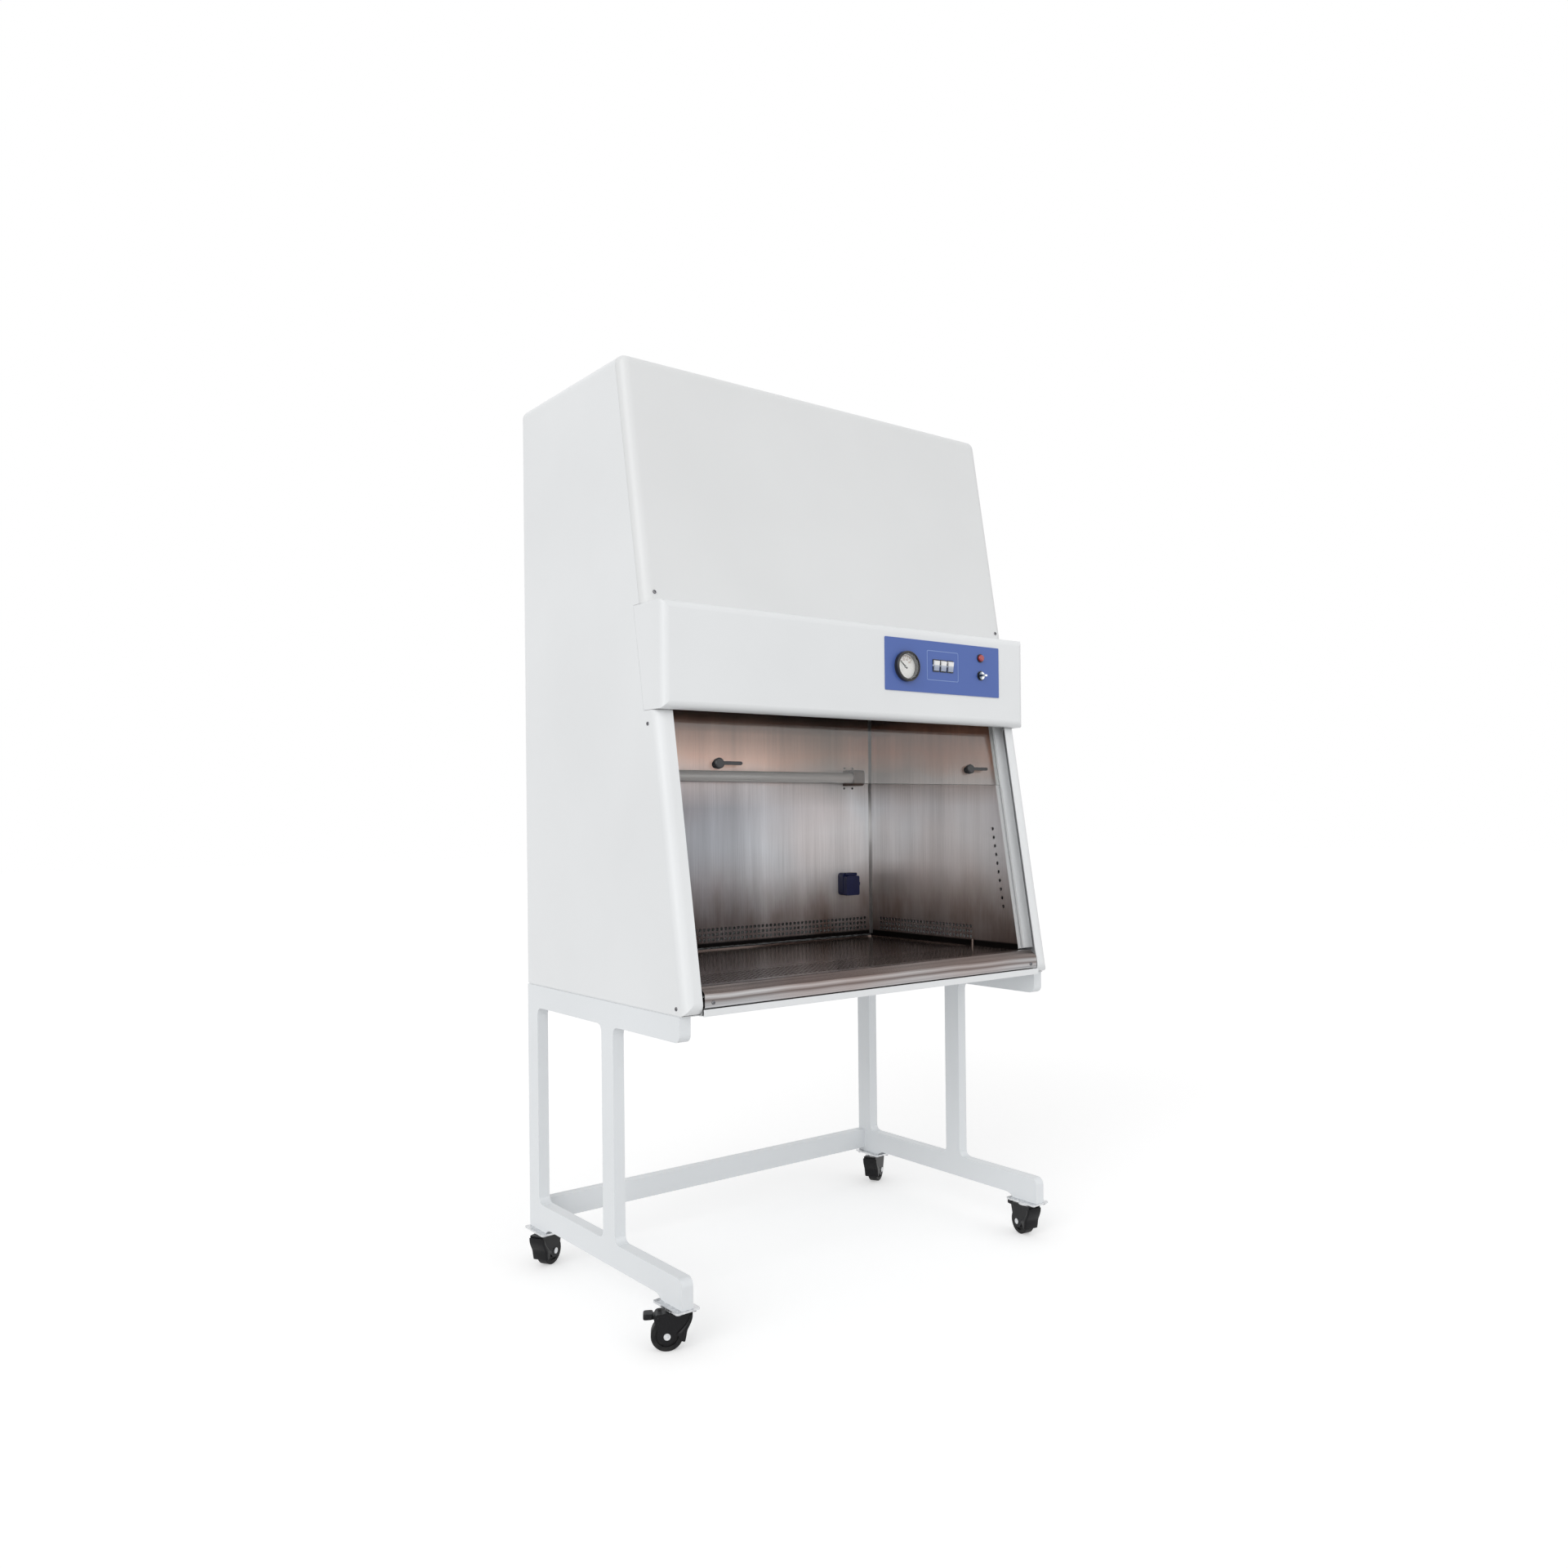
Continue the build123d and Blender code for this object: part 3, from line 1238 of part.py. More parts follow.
motor_left = hub_length / 2
with BuildPart() as blower_motor:
    with BuildSketch(Plane.YZ.offset(motor_left)):
        with Locations((scroll_y, scroll_z)):
            Circle(motor_radius)
    extrude(amount=motor_length)
    chamfer(edges().filter_by(GeomType.CIRCLE), length=blade_thickness * 2)
    with BuildSketch(Plane.YZ.offset(-hub_length)):
        with Locations((scroll_y, scroll_z)):
            Circle(shaft_radius)
    extrude(amount=hub_length + 2 * motor_left)
    # Arms across the inlet, bolted to the outside of the scroll's cheek
    with BuildSketch(Plane.YZ.offset(scroll_width / 2)):
        with Locations((scroll_y, scroll_z)):
            Rectangle(2 * (inlet_radius + motor_bracket_width), motor_bracket_width)
            Rectangle(motor_bracket_width, 2 * (inlet_radius + motor_bracket_width))
    extrude(amount=2 * panel_sheet)
    with BuildSketch(Plane.YZ.offset(motor_left + motor_length)):
        with Locations((scroll_y, scroll_z)):
            Circle(motor_radius / 2)
    extrude(amount=scroll_width / 2 - motor_left - motor_length)
save(blower_motor.part, "blower_motor")

# ---------------------------------------------------------------- fasteners
side_screw_places = [
    (slope_y(side_screw_top, side_screw_inset), side_screw_top),
    (slope_y(side_screw_bottom, side_screw_inset), side_screw_bottom),
]
with BuildPart() as fasteners:
    # Bolt heads under the caster plates
    for centre_x, centre_y in caster_centres:
        with BuildSketch(Plane.XY.offset(plate_z)):
            with Locations((centre_x, centre_y)):
                with GridLocations(bolt_spacing_x, bolt_spacing_y, 2, 2):
                    RegularPolygon(bolt_head_radius, 6)
        extrude(amount=-bolt_head_height)
    for side in (-1, 1):
        # Side panels
        with BuildSketch(Plane.YZ.offset(side * half_width)):
            for screw_y, height in side_screw_places:
                with Locations((screw_y, base_z + height)):
                    Circle(screw_radius)
        extrude(amount=side * screw_height)
        # Lower corners of the upper cover
        with BuildSketch(slope_plane(console_top + panel_bend + screw_radius)):
            with Locations((side * (half_width - panel_bend - screw_radius), 0)):
                Circle(screw_radius)
        extrude(amount=screw_height)
        # Apron
        with BuildSketch(face_plane(side * (surface_half - apron_screw_inset), apron_screw_height, apron_y)):
            Circle(screw_radius)
        extrude(amount=screw_height)
        # Above and below each end holder of the germicidal tube
        with BuildSketch(face_plane(side * uv_holder_x, uv_height, wall_y)):
            with GridLocations(holder_width - 2 * screw_radius, holder_height + 3 * screw_radius, 2, 2):
                Circle(holder_screw_radius)
        extrude(amount=screw_height)
save(fasteners.part, "fasteners")
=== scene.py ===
import json
import math

import bmesh
import bpy
import numpy as np
from mathutils import Matrix, Vector


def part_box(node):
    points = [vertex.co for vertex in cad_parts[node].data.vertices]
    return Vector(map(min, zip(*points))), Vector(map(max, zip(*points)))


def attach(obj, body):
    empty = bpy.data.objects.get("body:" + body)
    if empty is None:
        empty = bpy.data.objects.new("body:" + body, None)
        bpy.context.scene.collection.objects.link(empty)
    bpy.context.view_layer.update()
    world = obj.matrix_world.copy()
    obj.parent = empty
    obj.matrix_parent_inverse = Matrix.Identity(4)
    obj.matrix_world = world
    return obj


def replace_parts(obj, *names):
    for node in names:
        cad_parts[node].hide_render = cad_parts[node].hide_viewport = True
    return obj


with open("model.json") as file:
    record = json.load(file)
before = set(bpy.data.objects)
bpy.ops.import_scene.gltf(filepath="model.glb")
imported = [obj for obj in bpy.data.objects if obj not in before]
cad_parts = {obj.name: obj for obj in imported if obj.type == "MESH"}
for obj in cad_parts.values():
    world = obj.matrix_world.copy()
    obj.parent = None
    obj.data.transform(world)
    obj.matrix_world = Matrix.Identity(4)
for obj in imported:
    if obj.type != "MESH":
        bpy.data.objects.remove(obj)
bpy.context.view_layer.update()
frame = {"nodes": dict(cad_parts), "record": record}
nodes = frame["nodes"]
print("frame loaded:", len(nodes), "nodes")


# ---- camera: where it stands, how it is turned, and its lens in pixels of a square picture
viewpoint = {
    "position": (-1.7088, -2.3579, 1.0149),
    "yaw": math.radians(39.811),
    "pitch": math.radians(0.160),
    "roll": math.radians(0.596),
    "focalPixels": 1516.9,
    "centrePixels": (1072.4, 996.2),
    "pictureSide": 1920.0,
    "sensor": 36.0,
}


def makeCamera(v):
    # forward = (sin yaw cos pitch, cos yaw cos pitch, sin pitch), then the frame rolls about it
    sinYaw, cosYaw = math.sin(v["yaw"]), math.cos(v["yaw"])
    sinPitch, cosPitch = math.sin(v["pitch"]), math.cos(v["pitch"])
    sinRoll, cosRoll = math.sin(v["roll"]), math.cos(v["roll"])
    forward = Vector((sinYaw * cosPitch, cosYaw * cosPitch, sinPitch))
    levelUp = Vector((-sinYaw * sinPitch, -cosYaw * sinPitch, cosPitch))
    levelRight = Vector((cosYaw, -sinYaw, 0.0))
    right = levelRight * cosRoll - levelUp * sinRoll
    up = levelRight * sinRoll + levelUp * cosRoll
    data = bpy.data.cameras.new("studioCamera")
    data.sensor_width = v["sensor"]
    data.lens = v["focalPixels"] / v["pictureSide"] * v["sensor"]
    data.shift_x = 0.5 - v["centrePixels"][0] / v["pictureSide"]
    data.shift_y = v["centrePixels"][1] / v["pictureSide"] - 0.5
    camera = bpy.data.objects.new("studioCamera", data)
    turn = Matrix((right, up, -forward)).transposed().to_4x4()
    camera.matrix_world = Matrix.Translation(Vector(v["position"])) @ turn
    bpy.context.scene.collection.objects.link(camera)
    bpy.context.scene.camera = camera


makeCamera(viewpoint)
print("camera placed")


# ---- node helpers
def newMaterial(name, **sockets):
    # a Principled material with its constant values set on the shader's own sockets
    material = bpy.data.materials.new(name)
    material.use_nodes = True
    shader = material.node_tree.nodes["Principled BSDF"]
    for socket, value in sockets.items():
        shader.inputs[socket.replace("_", " ")].default_value = value
    return material, material.node_tree, shader


def node(tree, kind, **settings):
    made = tree.nodes.new(kind)
    for name, value in settings.items():
        setattr(made, name, value)
    return made


def objectPoint(tree, scale=(1.0, 1.0, 1.0), turn=(0.0, 0.0, 0.0)):
    # the point's own place in metres, stretched by scale
    coordinates = node(tree, "ShaderNodeTexCoord")
    mapping = node(tree, "ShaderNodeMapping")
    mapping.inputs["Scale"].default_value = scale
    mapping.inputs["Rotation"].default_value = turn
    tree.links.new(coordinates.outputs["Object"], mapping.inputs["Vector"])
    return mapping.outputs["Vector"]


def noise(tree, point, scale, detail=2.0, roughness=0.5):
    made = node(tree, "ShaderNodeTexNoise")
    made.inputs["Scale"].default_value = scale
    made.inputs["Detail"].default_value = detail
    made.inputs["Roughness"].default_value = roughness
    tree.links.new(point, made.inputs["Vector"])
    return made.outputs["Fac"]


def ramp(tree, factor, *stops):
    # a colour ramp through (place, colour) stops
    made = node(tree, "ShaderNodeValToRGB")
    elements = made.color_ramp.elements
    while len(elements) < len(stops):
        elements.new(0.5)
    for element, (place, colour) in zip(elements, stops):
        element.position = place
        element.color = (*colour, 1.0)
    tree.links.new(factor, made.inputs["Fac"])
    return made.outputs["Color"]


def spread(tree, factor, low, high, fromLow=0.3, fromHigh=0.7):
    # maps a noise value onto low..high
    made = node(tree, "ShaderNodeMapRange")
    for name, value in (("From Min", fromLow), ("From Max", fromHigh), ("To Min", low), ("To Max", high)):
        made.inputs[name].default_value = value
    tree.links.new(factor, made.inputs["Value"])
    return made.outputs["Result"]


# the Mix node's two colour inputs and its colour output, by place because its other kinds use the same names
mixFirst, mixSecond, mixResult = 6, 7, 2


def mixColour(tree, factor, first, second, mode="MIX"):
    made = node(tree, "ShaderNodeMix", data_type="RGBA", blend_type=mode)
    if isinstance(factor, float):
        made.inputs["Factor"].default_value = factor
    else:
        tree.links.new(factor, made.inputs["Factor"])
    for place, value in ((mixFirst, first), (mixSecond, second)):
        if isinstance(value, tuple):
            made.inputs[place].default_value = (*value, 1.0)
        else:
            tree.links.new(value, made.inputs[place])
    return made.outputs[mixResult]


def multiplied(tree, first, *tones):
    # a colour times each tone in turn
    for tone in tones:
        first = mixColour(tree, 1.0, first, tone, "MULTIPLY")
    return first


def bump(tree, shader, height, strength, distance):
    made = node(tree, "ShaderNodeBump")
    made.inputs["Strength"].default_value = strength
    made.inputs["Distance"].default_value = distance
    tree.links.new(height, made.inputs["Height"])
    tree.links.new(made.outputs["Normal"], shader.inputs["Normal"])


def placeAlong(tree, axis):
    # the point's own x, y or z in metres
    parts = node(tree, "ShaderNodeSeparateXYZ")
    tree.links.new(objectPoint(tree), parts.inputs["Vector"])
    return parts.outputs[axis]


def toneAlong(tree, axis, stops, waver=None):
    # colour by place along an axis, in metres; waver is a noise value added to the place
    place = placeAlong(tree, axis)
    if waver:
        moved = node(tree, "ShaderNodeMath", operation="ADD")
        tree.links.new(place, moved.inputs[0])
        tree.links.new(waver, moved.inputs[1])
        place = moved.outputs["Value"]
    low, high = stops[0][0], stops[-1][0]
    share = spread(tree, place, 0.0, 1.0, low, high)
    return ramp(tree, share, *(((p - low) / (high - low), colour) for p, colour in stops))


def tinted(material, makeTone):
    # multiplies a finish's base colour by a tone that makeTone works out from the place
    tree = material.node_tree
    base = tree.nodes["Principled BSDF"].inputs["Base Color"]
    tree.links.new(multiplied(tree, base.links[0].from_socket, makeTone(tree)), base)
    return material


# ---- finishes
def grained(name, darker, lighter, roughness, scale, detail=2.0, fineness=0.5, stretch=(1.0, 1.0, 1.0),
            between=(0.3, 0.7), relief=None, **sockets):
    # colour, roughness and relief (strength and height) all follow one noise value
    material, tree, shader = newMaterial(name, **sockets)
    texture = noise(tree, objectPoint(tree, stretch), scale, detail, fineness)
    colour = ramp(tree, texture, (between[0], darker), (between[1], lighter))
    tree.links.new(colour, shader.inputs["Base Color"])
    tree.links.new(spread(tree, texture, *roughness), shader.inputs["Roughness"])
    if relief:
        bump(tree, shader, texture, *relief)
    return material


powder = {"peel": 620.0, "cloud": 2.2, "bumpHeight": 0.00012, "bumpStrength": 0.16}


def powderCoat(name, tone, roughness=0.36):
    # an even tone that drifts a little over the sheet, with a fine orange peel
    material, tree, shader = newMaterial(name, Specular_IOR_Level=0.42, Coat_Weight=0.12, Coat_Roughness=0.25)
    point = objectPoint(tree)
    cloud = noise(tree, point, powder["cloud"], detail=3.0)
    paler = tuple(min(1.0, c * 1.015) for c in tone)
    duller = tuple(c * 0.975 for c in tone)
    tree.links.new(ramp(tree, cloud, (0.35, duller), (0.65, paler)), shader.inputs["Base Color"])
    peel = noise(tree, point, powder["peel"])
    tree.links.new(spread(tree, peel, roughness - 0.04, roughness + 0.05), shader.inputs["Roughness"])
    bump(tree, shader, peel, powder["bumpStrength"], powder["bumpHeight"])
    return material


brushed = {
    "grainAcross": 900.0,
    "grainAlong": 6.0,
    "streakAlong": 0.5,
    "anisotropy": 0.8,
    "metal": 0.86,
    "driftScale": 3.1,
    "warmShare": 0.6,
    "lineTone": (0.20, 0.19, 0.19),
    "lineShare": 0.22,
    "offTrue": 0.03,
    "bumpStrength": 0.22,
    "bumpHeight": 0.0001,
}


def brushedSteel(name, pale, warm, along, roughness, streakAcross, dulling=0.74):
    # brushed stainless: fine lines along one axis, wide soft streaks and a warm cast that comes and goes
    b = brushed
    material, tree, shader = newMaterial(name, Metallic=b["metal"], Anisotropic=b["anisotropy"])
    fineScale = tuple(b["grainAlong"] if a else b["grainAcross"] for a in along)
    wideScale = tuple(b["streakAlong"] if a else streakAcross for a in along)
    fine = noise(tree, objectPoint(tree, fineScale), 1.0, detail=3.0, roughness=0.6)
    streak = noise(tree, objectPoint(tree, wideScale), 1.0, detail=3.0, roughness=0.6)
    drift = noise(tree, objectPoint(tree), b["driftScale"])
    dulled = tuple(c * dulling for c in pale)
    steel = ramp(tree, streak, (0.28, dulled), (0.62, pale))
    warmth = spread(tree, drift, 0.0, b["warmShare"], fromLow=0.42, fromHigh=0.68)
    toned = mixColour(tree, warmth, steel, warm)
    lined = mixColour(tree, spread(tree, fine, 0.0, b["lineShare"]), toned, b["lineTone"])
    tree.links.new(lined, shader.inputs["Base Color"])
    tree.links.new(spread(tree, fine, roughness - 0.06, roughness + 0.10), shader.inputs["Roughness"])
    # the shine spreads square to the lines: the surface's normal crossed with their direction, which is
    # a little off true so that no flat face gives nought
    across = node(tree, "ShaderNodeVectorMath", operation="CROSS_PRODUCT")
    across.inputs[1].default_value = tuple(a + b["offTrue"] * (k + 1) for k, a in enumerate(along))
    tree.links.new(node(tree, "ShaderNodeNewGeometry").outputs["Normal"], across.inputs[0])
    tree.links.new(across.outputs["Vector"], shader.inputs["Tangent"])
    bump(tree, shader, fine, b["bumpStrength"], b["bumpHeight"])
    return material


def zincSheet():
    # hot-dipped sheet: angular spangle cells of slightly different grey
    material, tree, shader = newMaterial("zincSheet", Metallic=1.0)
    cells = node(tree, "ShaderNodeTexVoronoi")
    cells.inputs["Scale"].default_value = 70.0
    tree.links.new(objectPoint(tree), cells.inputs["Vector"])
    greys = ramp(tree, cells.outputs["Color"], (0.2, (0.42, 0.44, 0.46)), (0.8, (0.66, 0.68, 0.70)))
    tree.links.new(greys, shader.inputs["Base Color"])
    sheen = spread(tree, cells.outputs["Distance"], 0.30, 0.48, fromLow=0.0, fromHigh=1.0)
    tree.links.new(sheen, shader.inputs["Roughness"])
    return material


def brightPlate(name, dull, bright):
    # nearly mirror, with a faint cloud in its shine
    return grained(name, dull, bright, roughness=(0.16, 0.34), scale=160.0, detail=4.0, Metallic=1.0)


def mouldedPlastic(name, tone, roughness, grain=1400.0, strength=0.12, shine=0.5):
    # a spark-eroded grain, with the tone a shade lighter on its high spots
    lighter = tuple(min(1.0, c * 1.12 + 0.001) for c in tone)
    darker = tuple(c * 0.88 for c in tone)
    return grained(name, darker, lighter, roughness=(roughness - 0.05, roughness + 0.08), scale=grain,
                   between=(0.35, 0.65), relief=(strength, 0.00015), Specular_IOR_Level=shine)


def treadRubber():
    # wheel tread: dark, dull, with a dusty bloom
    material, tree, shader = newMaterial("treadRubber", Specular_IOR_Level=0.2)
    point = objectPoint(tree)
    dust = noise(tree, point, 90.0, detail=4.0)
    bloom = ramp(tree, dust, (0.35, (0.007, 0.007, 0.008)), (0.75, (0.024, 0.0235, 0.023)))
    tree.links.new(bloom, shader.inputs["Base Color"])
    tree.links.new(spread(tree, dust, 0.42, 0.62), shader.inputs["Roughness"])
    bump(tree, shader, noise(tree, point, 900.0), strength=0.2, distance=0.0002)
    return material


def clearGlass(name, tint, roughness, smear=0.0):
    # lets soft light through without caustics, and has faint slanting wiping marks
    material, tree, shader = newMaterial(name, Transmission_Weight=1.0, IOR=1.45, Base_Color=(*tint, 1.0))
    slanting = objectPoint(tree, scale=(2.0, 2.0, 9.0), turn=(0.0, math.radians(35), 0.0))
    wiped = noise(tree, slanting, 3.0, detail=5.0, roughness=0.7)
    marks = spread(tree, wiped, roughness, roughness + smear, fromLow=0.5, fromHigh=0.8)
    tree.links.new(marks, shader.inputs["Roughness"])
    through = node(tree, "ShaderNodeBsdfTransparent")
    through.inputs["Color"].default_value = (*tint, 1.0)
    path = node(tree, "ShaderNodeLightPath")
    blend = node(tree, "ShaderNodeMixShader")
    tree.links.new(path.outputs["Is Shadow Ray"], blend.inputs["Fac"])
    tree.links.new(shader.outputs["BSDF"], blend.inputs[1])
    tree.links.new(through.outputs["BSDF"], blend.inputs[2])
    tree.links.new(blend.outputs["Shader"], tree.nodes["Material Output"].inputs["Surface"])
    return material


def lampTube():
    # tube glass with a milky coat, browner towards its ends where the cathodes sit
    material, tree, shader = newMaterial("lampTube", Coat_Weight=0.6, Coat_Roughness=0.05)
    coordinates = objectPoint(tree, (1.0, 0.0, 0.0))
    fromMiddle = node(tree, "ShaderNodeVectorMath", operation="LENGTH")
    tree.links.new(coordinates, fromMiddle.inputs[0])
    middle, nearEnd, end = (0.0, (0.54, 0.52, 0.51)), (0.36, (0.50, 0.46, 0.44)), (0.392, (0.20, 0.15, 0.13))
    tone = ramp(tree, fromMiddle.outputs["Value"], middle, nearEnd, end)
    tree.links.new(tone, shader.inputs["Base Color"])
    tree.links.new(spread(tree, noise(tree, coordinates, 30.0), 0.18, 0.26), shader.inputs["Roughness"])
    return material


def panelFilm():
    # printed polyester film: even blue with a very fine satin grain
    return grained("panelFilm", (0.062, 0.118, 0.375), (0.078, 0.142, 0.425), roughness=(0.32, 0.44),
                   scale=1500.0, detail=1.0, relief=(0.10, 0.0001), Specular_IOR_Level=0.45)


def dialPaint():
    # matt dial enamel with the faintest mottle
    return grained("dialPaint", (0.90, 0.885, 0.86), (0.95, 0.94, 0.92), roughness=(0.5, 0.6),
                   scale=240.0, detail=3.0)


def redLens():
    # deep red translucent lens, a shade deeper here and there
    return grained("redLens", (0.26, 0.006, 0.012), (0.42, 0.02, 0.025), roughness=(0.15, 0.25),
                   scale=320.0, Coat_Weight=0.8, Coat_Roughness=0.05, Subsurface_Weight=0.15)


def filterPaper():
    # glass-fibre paper: off-white felt with fine fibres
    return grained("filterPaper", (0.66, 0.65, 0.61), (0.84, 0.83, 0.80), roughness=(0.8, 0.95),
                   scale=420.0, detail=4.0, fineness=0.7, stretch=(1.0, 6.0, 1.0), relief=(0.4, 0.0003))


plain = (1.0, 1.0, 1.0)
# how the chamber's steel is toned by what it mirrors, as painted reflection and painted shade, in (metres,
# tone):
# by height above the floor, by x under and over the band of heights where one fades into the other, by y
# darker towards its front edge, and near black at its foot and top as painted shadow; low down it also has
# darker patches of painted reflection
wallTones = {
    "heights": (
        (0.70, (0.20, 0.16, 0.15)),
        (0.78, (0.42, 0.37, 0.35)),
        (0.88, (0.88, 0.86, 0.85)),
        (0.96, plain),
        (1.10, (1.0, 1.0, 1.02)),
        (1.16, (1.20, 0.87, 0.74)),
        (1.225, (1.12, 0.80, 0.67)),
        (1.295, (0.98, 0.76, 0.66)),
    ),
    "under": (
        (-0.15, (0.54, 0.565, 0.61)),
        (0.0, (0.62, 0.64, 0.68)),
        (0.26, (1.22, 1.25, 1.28)),
        (0.48, (1.30, 1.30, 1.30)),
    ),
    "over": (
        (-0.15, (1.15, 1.09, 1.06)),
        (0.08, (1.13, 1.08, 1.05)),
        (0.30, (0.68, 0.69, 0.66)),
        (0.48, (0.99, 0.84, 0.75)),
    ),
    "fade": (1.04, 1.15),
    "forward": (
        (-0.28, (0.60, 0.58, 0.58)),
        (-0.15, (0.82, 0.80, 0.79)),
        (0.08, plain),
    ),
    # painted shadow: near black along the wall's foot by the tray, and darkening under the ceiling
    "edges": (
        (0.700, (0.03, 0.03, 0.03)),
        (0.7055, (0.03, 0.03, 0.03)),
        (0.7075, plain),
        (1.228, plain),
        (1.254, (0.50, 0.45, 0.42)),
        (1.270, (0.17, 0.155, 0.15)),
        (1.288, (0.04, 0.04, 0.04)),
    ),
    # darker patches low down, painted reflection
    "reflectionPatchTones": ((0.36, (0.56, 0.46, 0.41)), (0.60, plain)),
    "reflectionPatchFade": (0.76, 0.90),
    "reflectionPatchScale": (9.0, 9.0, 3.0),
    "waver": 0.05,
    "waverScale": (3.0, 3.0, 0.8),
}


def chamberPaintedLight(tree):
    t = wallTones
    broad = noise(tree, objectPoint(tree, t["waverScale"]), 1.0)
    waver = spread(tree, broad, -t["waver"], t["waver"], fromLow=0.2, fromHigh=0.8)
    byHeight = toneAlong(tree, "Z", t["heights"], waver)
    height = placeAlong(tree, "Z")
    under = toneAlong(tree, "X", t["under"], waver)
    over = toneAlong(tree, "X", t["over"], waver)
    sideways = mixColour(tree, spread(tree, height, 0.0, 1.0, *t["fade"]), under, over)
    # darker patches low down: painted reflection
    patches = noise(tree, objectPoint(tree, t["reflectionPatchScale"]), 1.0, detail=4.0, roughness=0.6)
    lowDown = spread(tree, height, 1.0, 0.0, *t["reflectionPatchFade"])
    paintedReflectionPatches = mixColour(tree, lowDown, plain, ramp(tree, patches, *t["reflectionPatchTones"]))
    forward = toneAlong(tree, "Y", t["forward"])
    return multiplied(tree, byHeight, sideways, forward, paintedReflectionPatches, toneAlong(tree, "Z", t["edges"]))


# painted highlight and painted shade on the front lip, by height
lipLightBands = {
    "paintedBands": (
        (0.654, (1.10, 1.12, 1.15)),
        (0.663, (1.18, 1.18, 1.19)),
        (0.670, (0.46, 0.40, 0.38)),
        (0.677, (1.25, 1.24, 1.24)),
        (0.683, (0.44, 0.36, 0.33)),
        (0.6955, (0.66, 0.58, 0.55)),
    ),
    "waver": 0.003,
    "waverScale": (3.0, 0.0, 0.0),
}


def lipPaintedLight(tree):
    # painted highlights and painted shade in bands along the rolled front edge, drifting up and down a little
    # from one end to the other
    drift = noise(tree, objectPoint(tree, lipLightBands["waverScale"]), 1.0)
    waver = spread(tree, drift, -lipLightBands["waver"], lipLightBands["waver"])
    return toneAlong(tree, "Z", lipLightBands["paintedBands"], waver)


panelTones = {
    "rocker": ((1.353, (0.40, 0.45, 0.58)), (1.359, (0.55, 0.60, 0.70)), (1.361, plain)),
    "key": ((0.343, (0.07, 0.10, 0.16)), (0.350, (0.30, 0.34, 0.36)), (0.354, plain)),
}


def rockerTone(tree):
    # the upper half of each rocker is lit, its lower half turns away
    return toneAlong(tree, "Z", panelTones["rocker"])


def keyPaintedHighlight(tree):
    # a painted highlight towards the right, and darker towards the left
    return toneAlong(tree, "X", panelTones["key"])


# the pan's upward faces: dark steel and painted shade
panSteelAndShadeTones = {"steelAndShadeFacingUp": ((0.5, plain), (0.8, (0.16, 0.15, 0.145))), "floorTop": (0.650, 0.652)}


def panSteelAndShade(tree):
    # the pan's floor, under the grille and tray, is dark, partly as a steel drain pan and partly as painted
    # shade seen through the grille's holes, and the rest of it is plain
    normal = node(tree, "ShaderNodeSeparateXYZ")
    tree.links.new(node(tree, "ShaderNodeNewGeometry").outputs["Normal"], normal.inputs["Vector"])
    steelAndShadeFacingUp = ramp(tree, normal.outputs["Z"], *panSteelAndShadeTones["steelAndShadeFacingUp"])
    onFloor = spread(tree, placeAlong(tree, "Z"), 1.0, 0.0, *panSteelAndShadeTones["floorTop"])
    return mixColour(tree, onFloor, plain, steelAndShadeFacingUp)


# steel, its lines running one way or the other
lengthways, upright = (1, 0, 0), (0, 0, 1)
wallSteel = tinted(brushedSteel(
    "stainlessWall", pale=(0.88, 0.88, 0.89), warm=(0.72, 0.63, 0.60), along=upright,
    roughness=0.46, streakAcross=15.0), chamberPaintedLight)
# dark brown tones on the tray and grille: painted reflection and painted shade of the dark chamber, not the
# steel's own pale colour
flatSteel = brushedSteel(
    "stainlessFlat", pale=(0.20, 0.152, 0.132), warm=(0.085, 0.052, 0.042), along=lengthways,
    roughness=0.15, streakAcross=45.0)
lipSteel = tinted(brushedSteel(
    "stainlessLip", pale=(0.52, 0.515, 0.52), warm=(0.31, 0.235, 0.21), along=lengthways,
    roughness=0.17, streakAcross=160.0, dulling=0.42), lipPaintedLight)
# paler than the wall steel: a painted highlight up the chamber's corners
coveSteel = brushedSteel(
    "stainlessCove", pale=(0.97, 0.97, 0.97), warm=(0.92, 0.88, 0.86), along=upright,
    roughness=0.55, streakAcross=15.0)
# by the record's material slot
finishes = {
    "panel_white": powderCoat("panelWhite", (0.79, 0.805, 0.815)),
    "track_white": powderCoat("trackWhite", (0.76, 0.775, 0.785), 0.3),
    "stand_white": powderCoat("standWhite", (0.77, 0.795, 0.815)),
    "stainless": wallSteel,
    "galvanised": zincSheet(),
    "zinc": brightPlate("brightPlate", (0.55, 0.56, 0.58), (0.78, 0.79, 0.80)),
    "motor_grey": powderCoat("motorEnamel", (0.09, 0.10, 0.11), 0.4),
    "sash_glass": clearGlass("sashGlass", (0.955, 0.965, 0.955), 0.0, 0.05),
    "gauge_glass": clearGlass("gaugeGlass", (0.98, 0.985, 0.98), 0.0),
    "tube_glass": lampTube(),
    "holder_white": mouldedPlastic("switchWhite", (0.86, 0.86, 0.85), 0.28),
    "panel_blue": panelFilm(),
    "black_plastic": mouldedPlastic("blackMoulding", (0.018, 0.018, 0.020), 0.34),
    "dial_white": dialPaint(),
    "lamp_red": redLens(),
    "navy_plastic": mouldedPlastic("navyMoulding", (0.008, 0.014, 0.075), 0.32),
    "filter_white": filterPaper(),
    "caster_black": mouldedPlastic("casterBlack", (0.004, 0.004, 0.005), 0.30, shine=0.22),
    "wheel_black": treadRubber(),
}
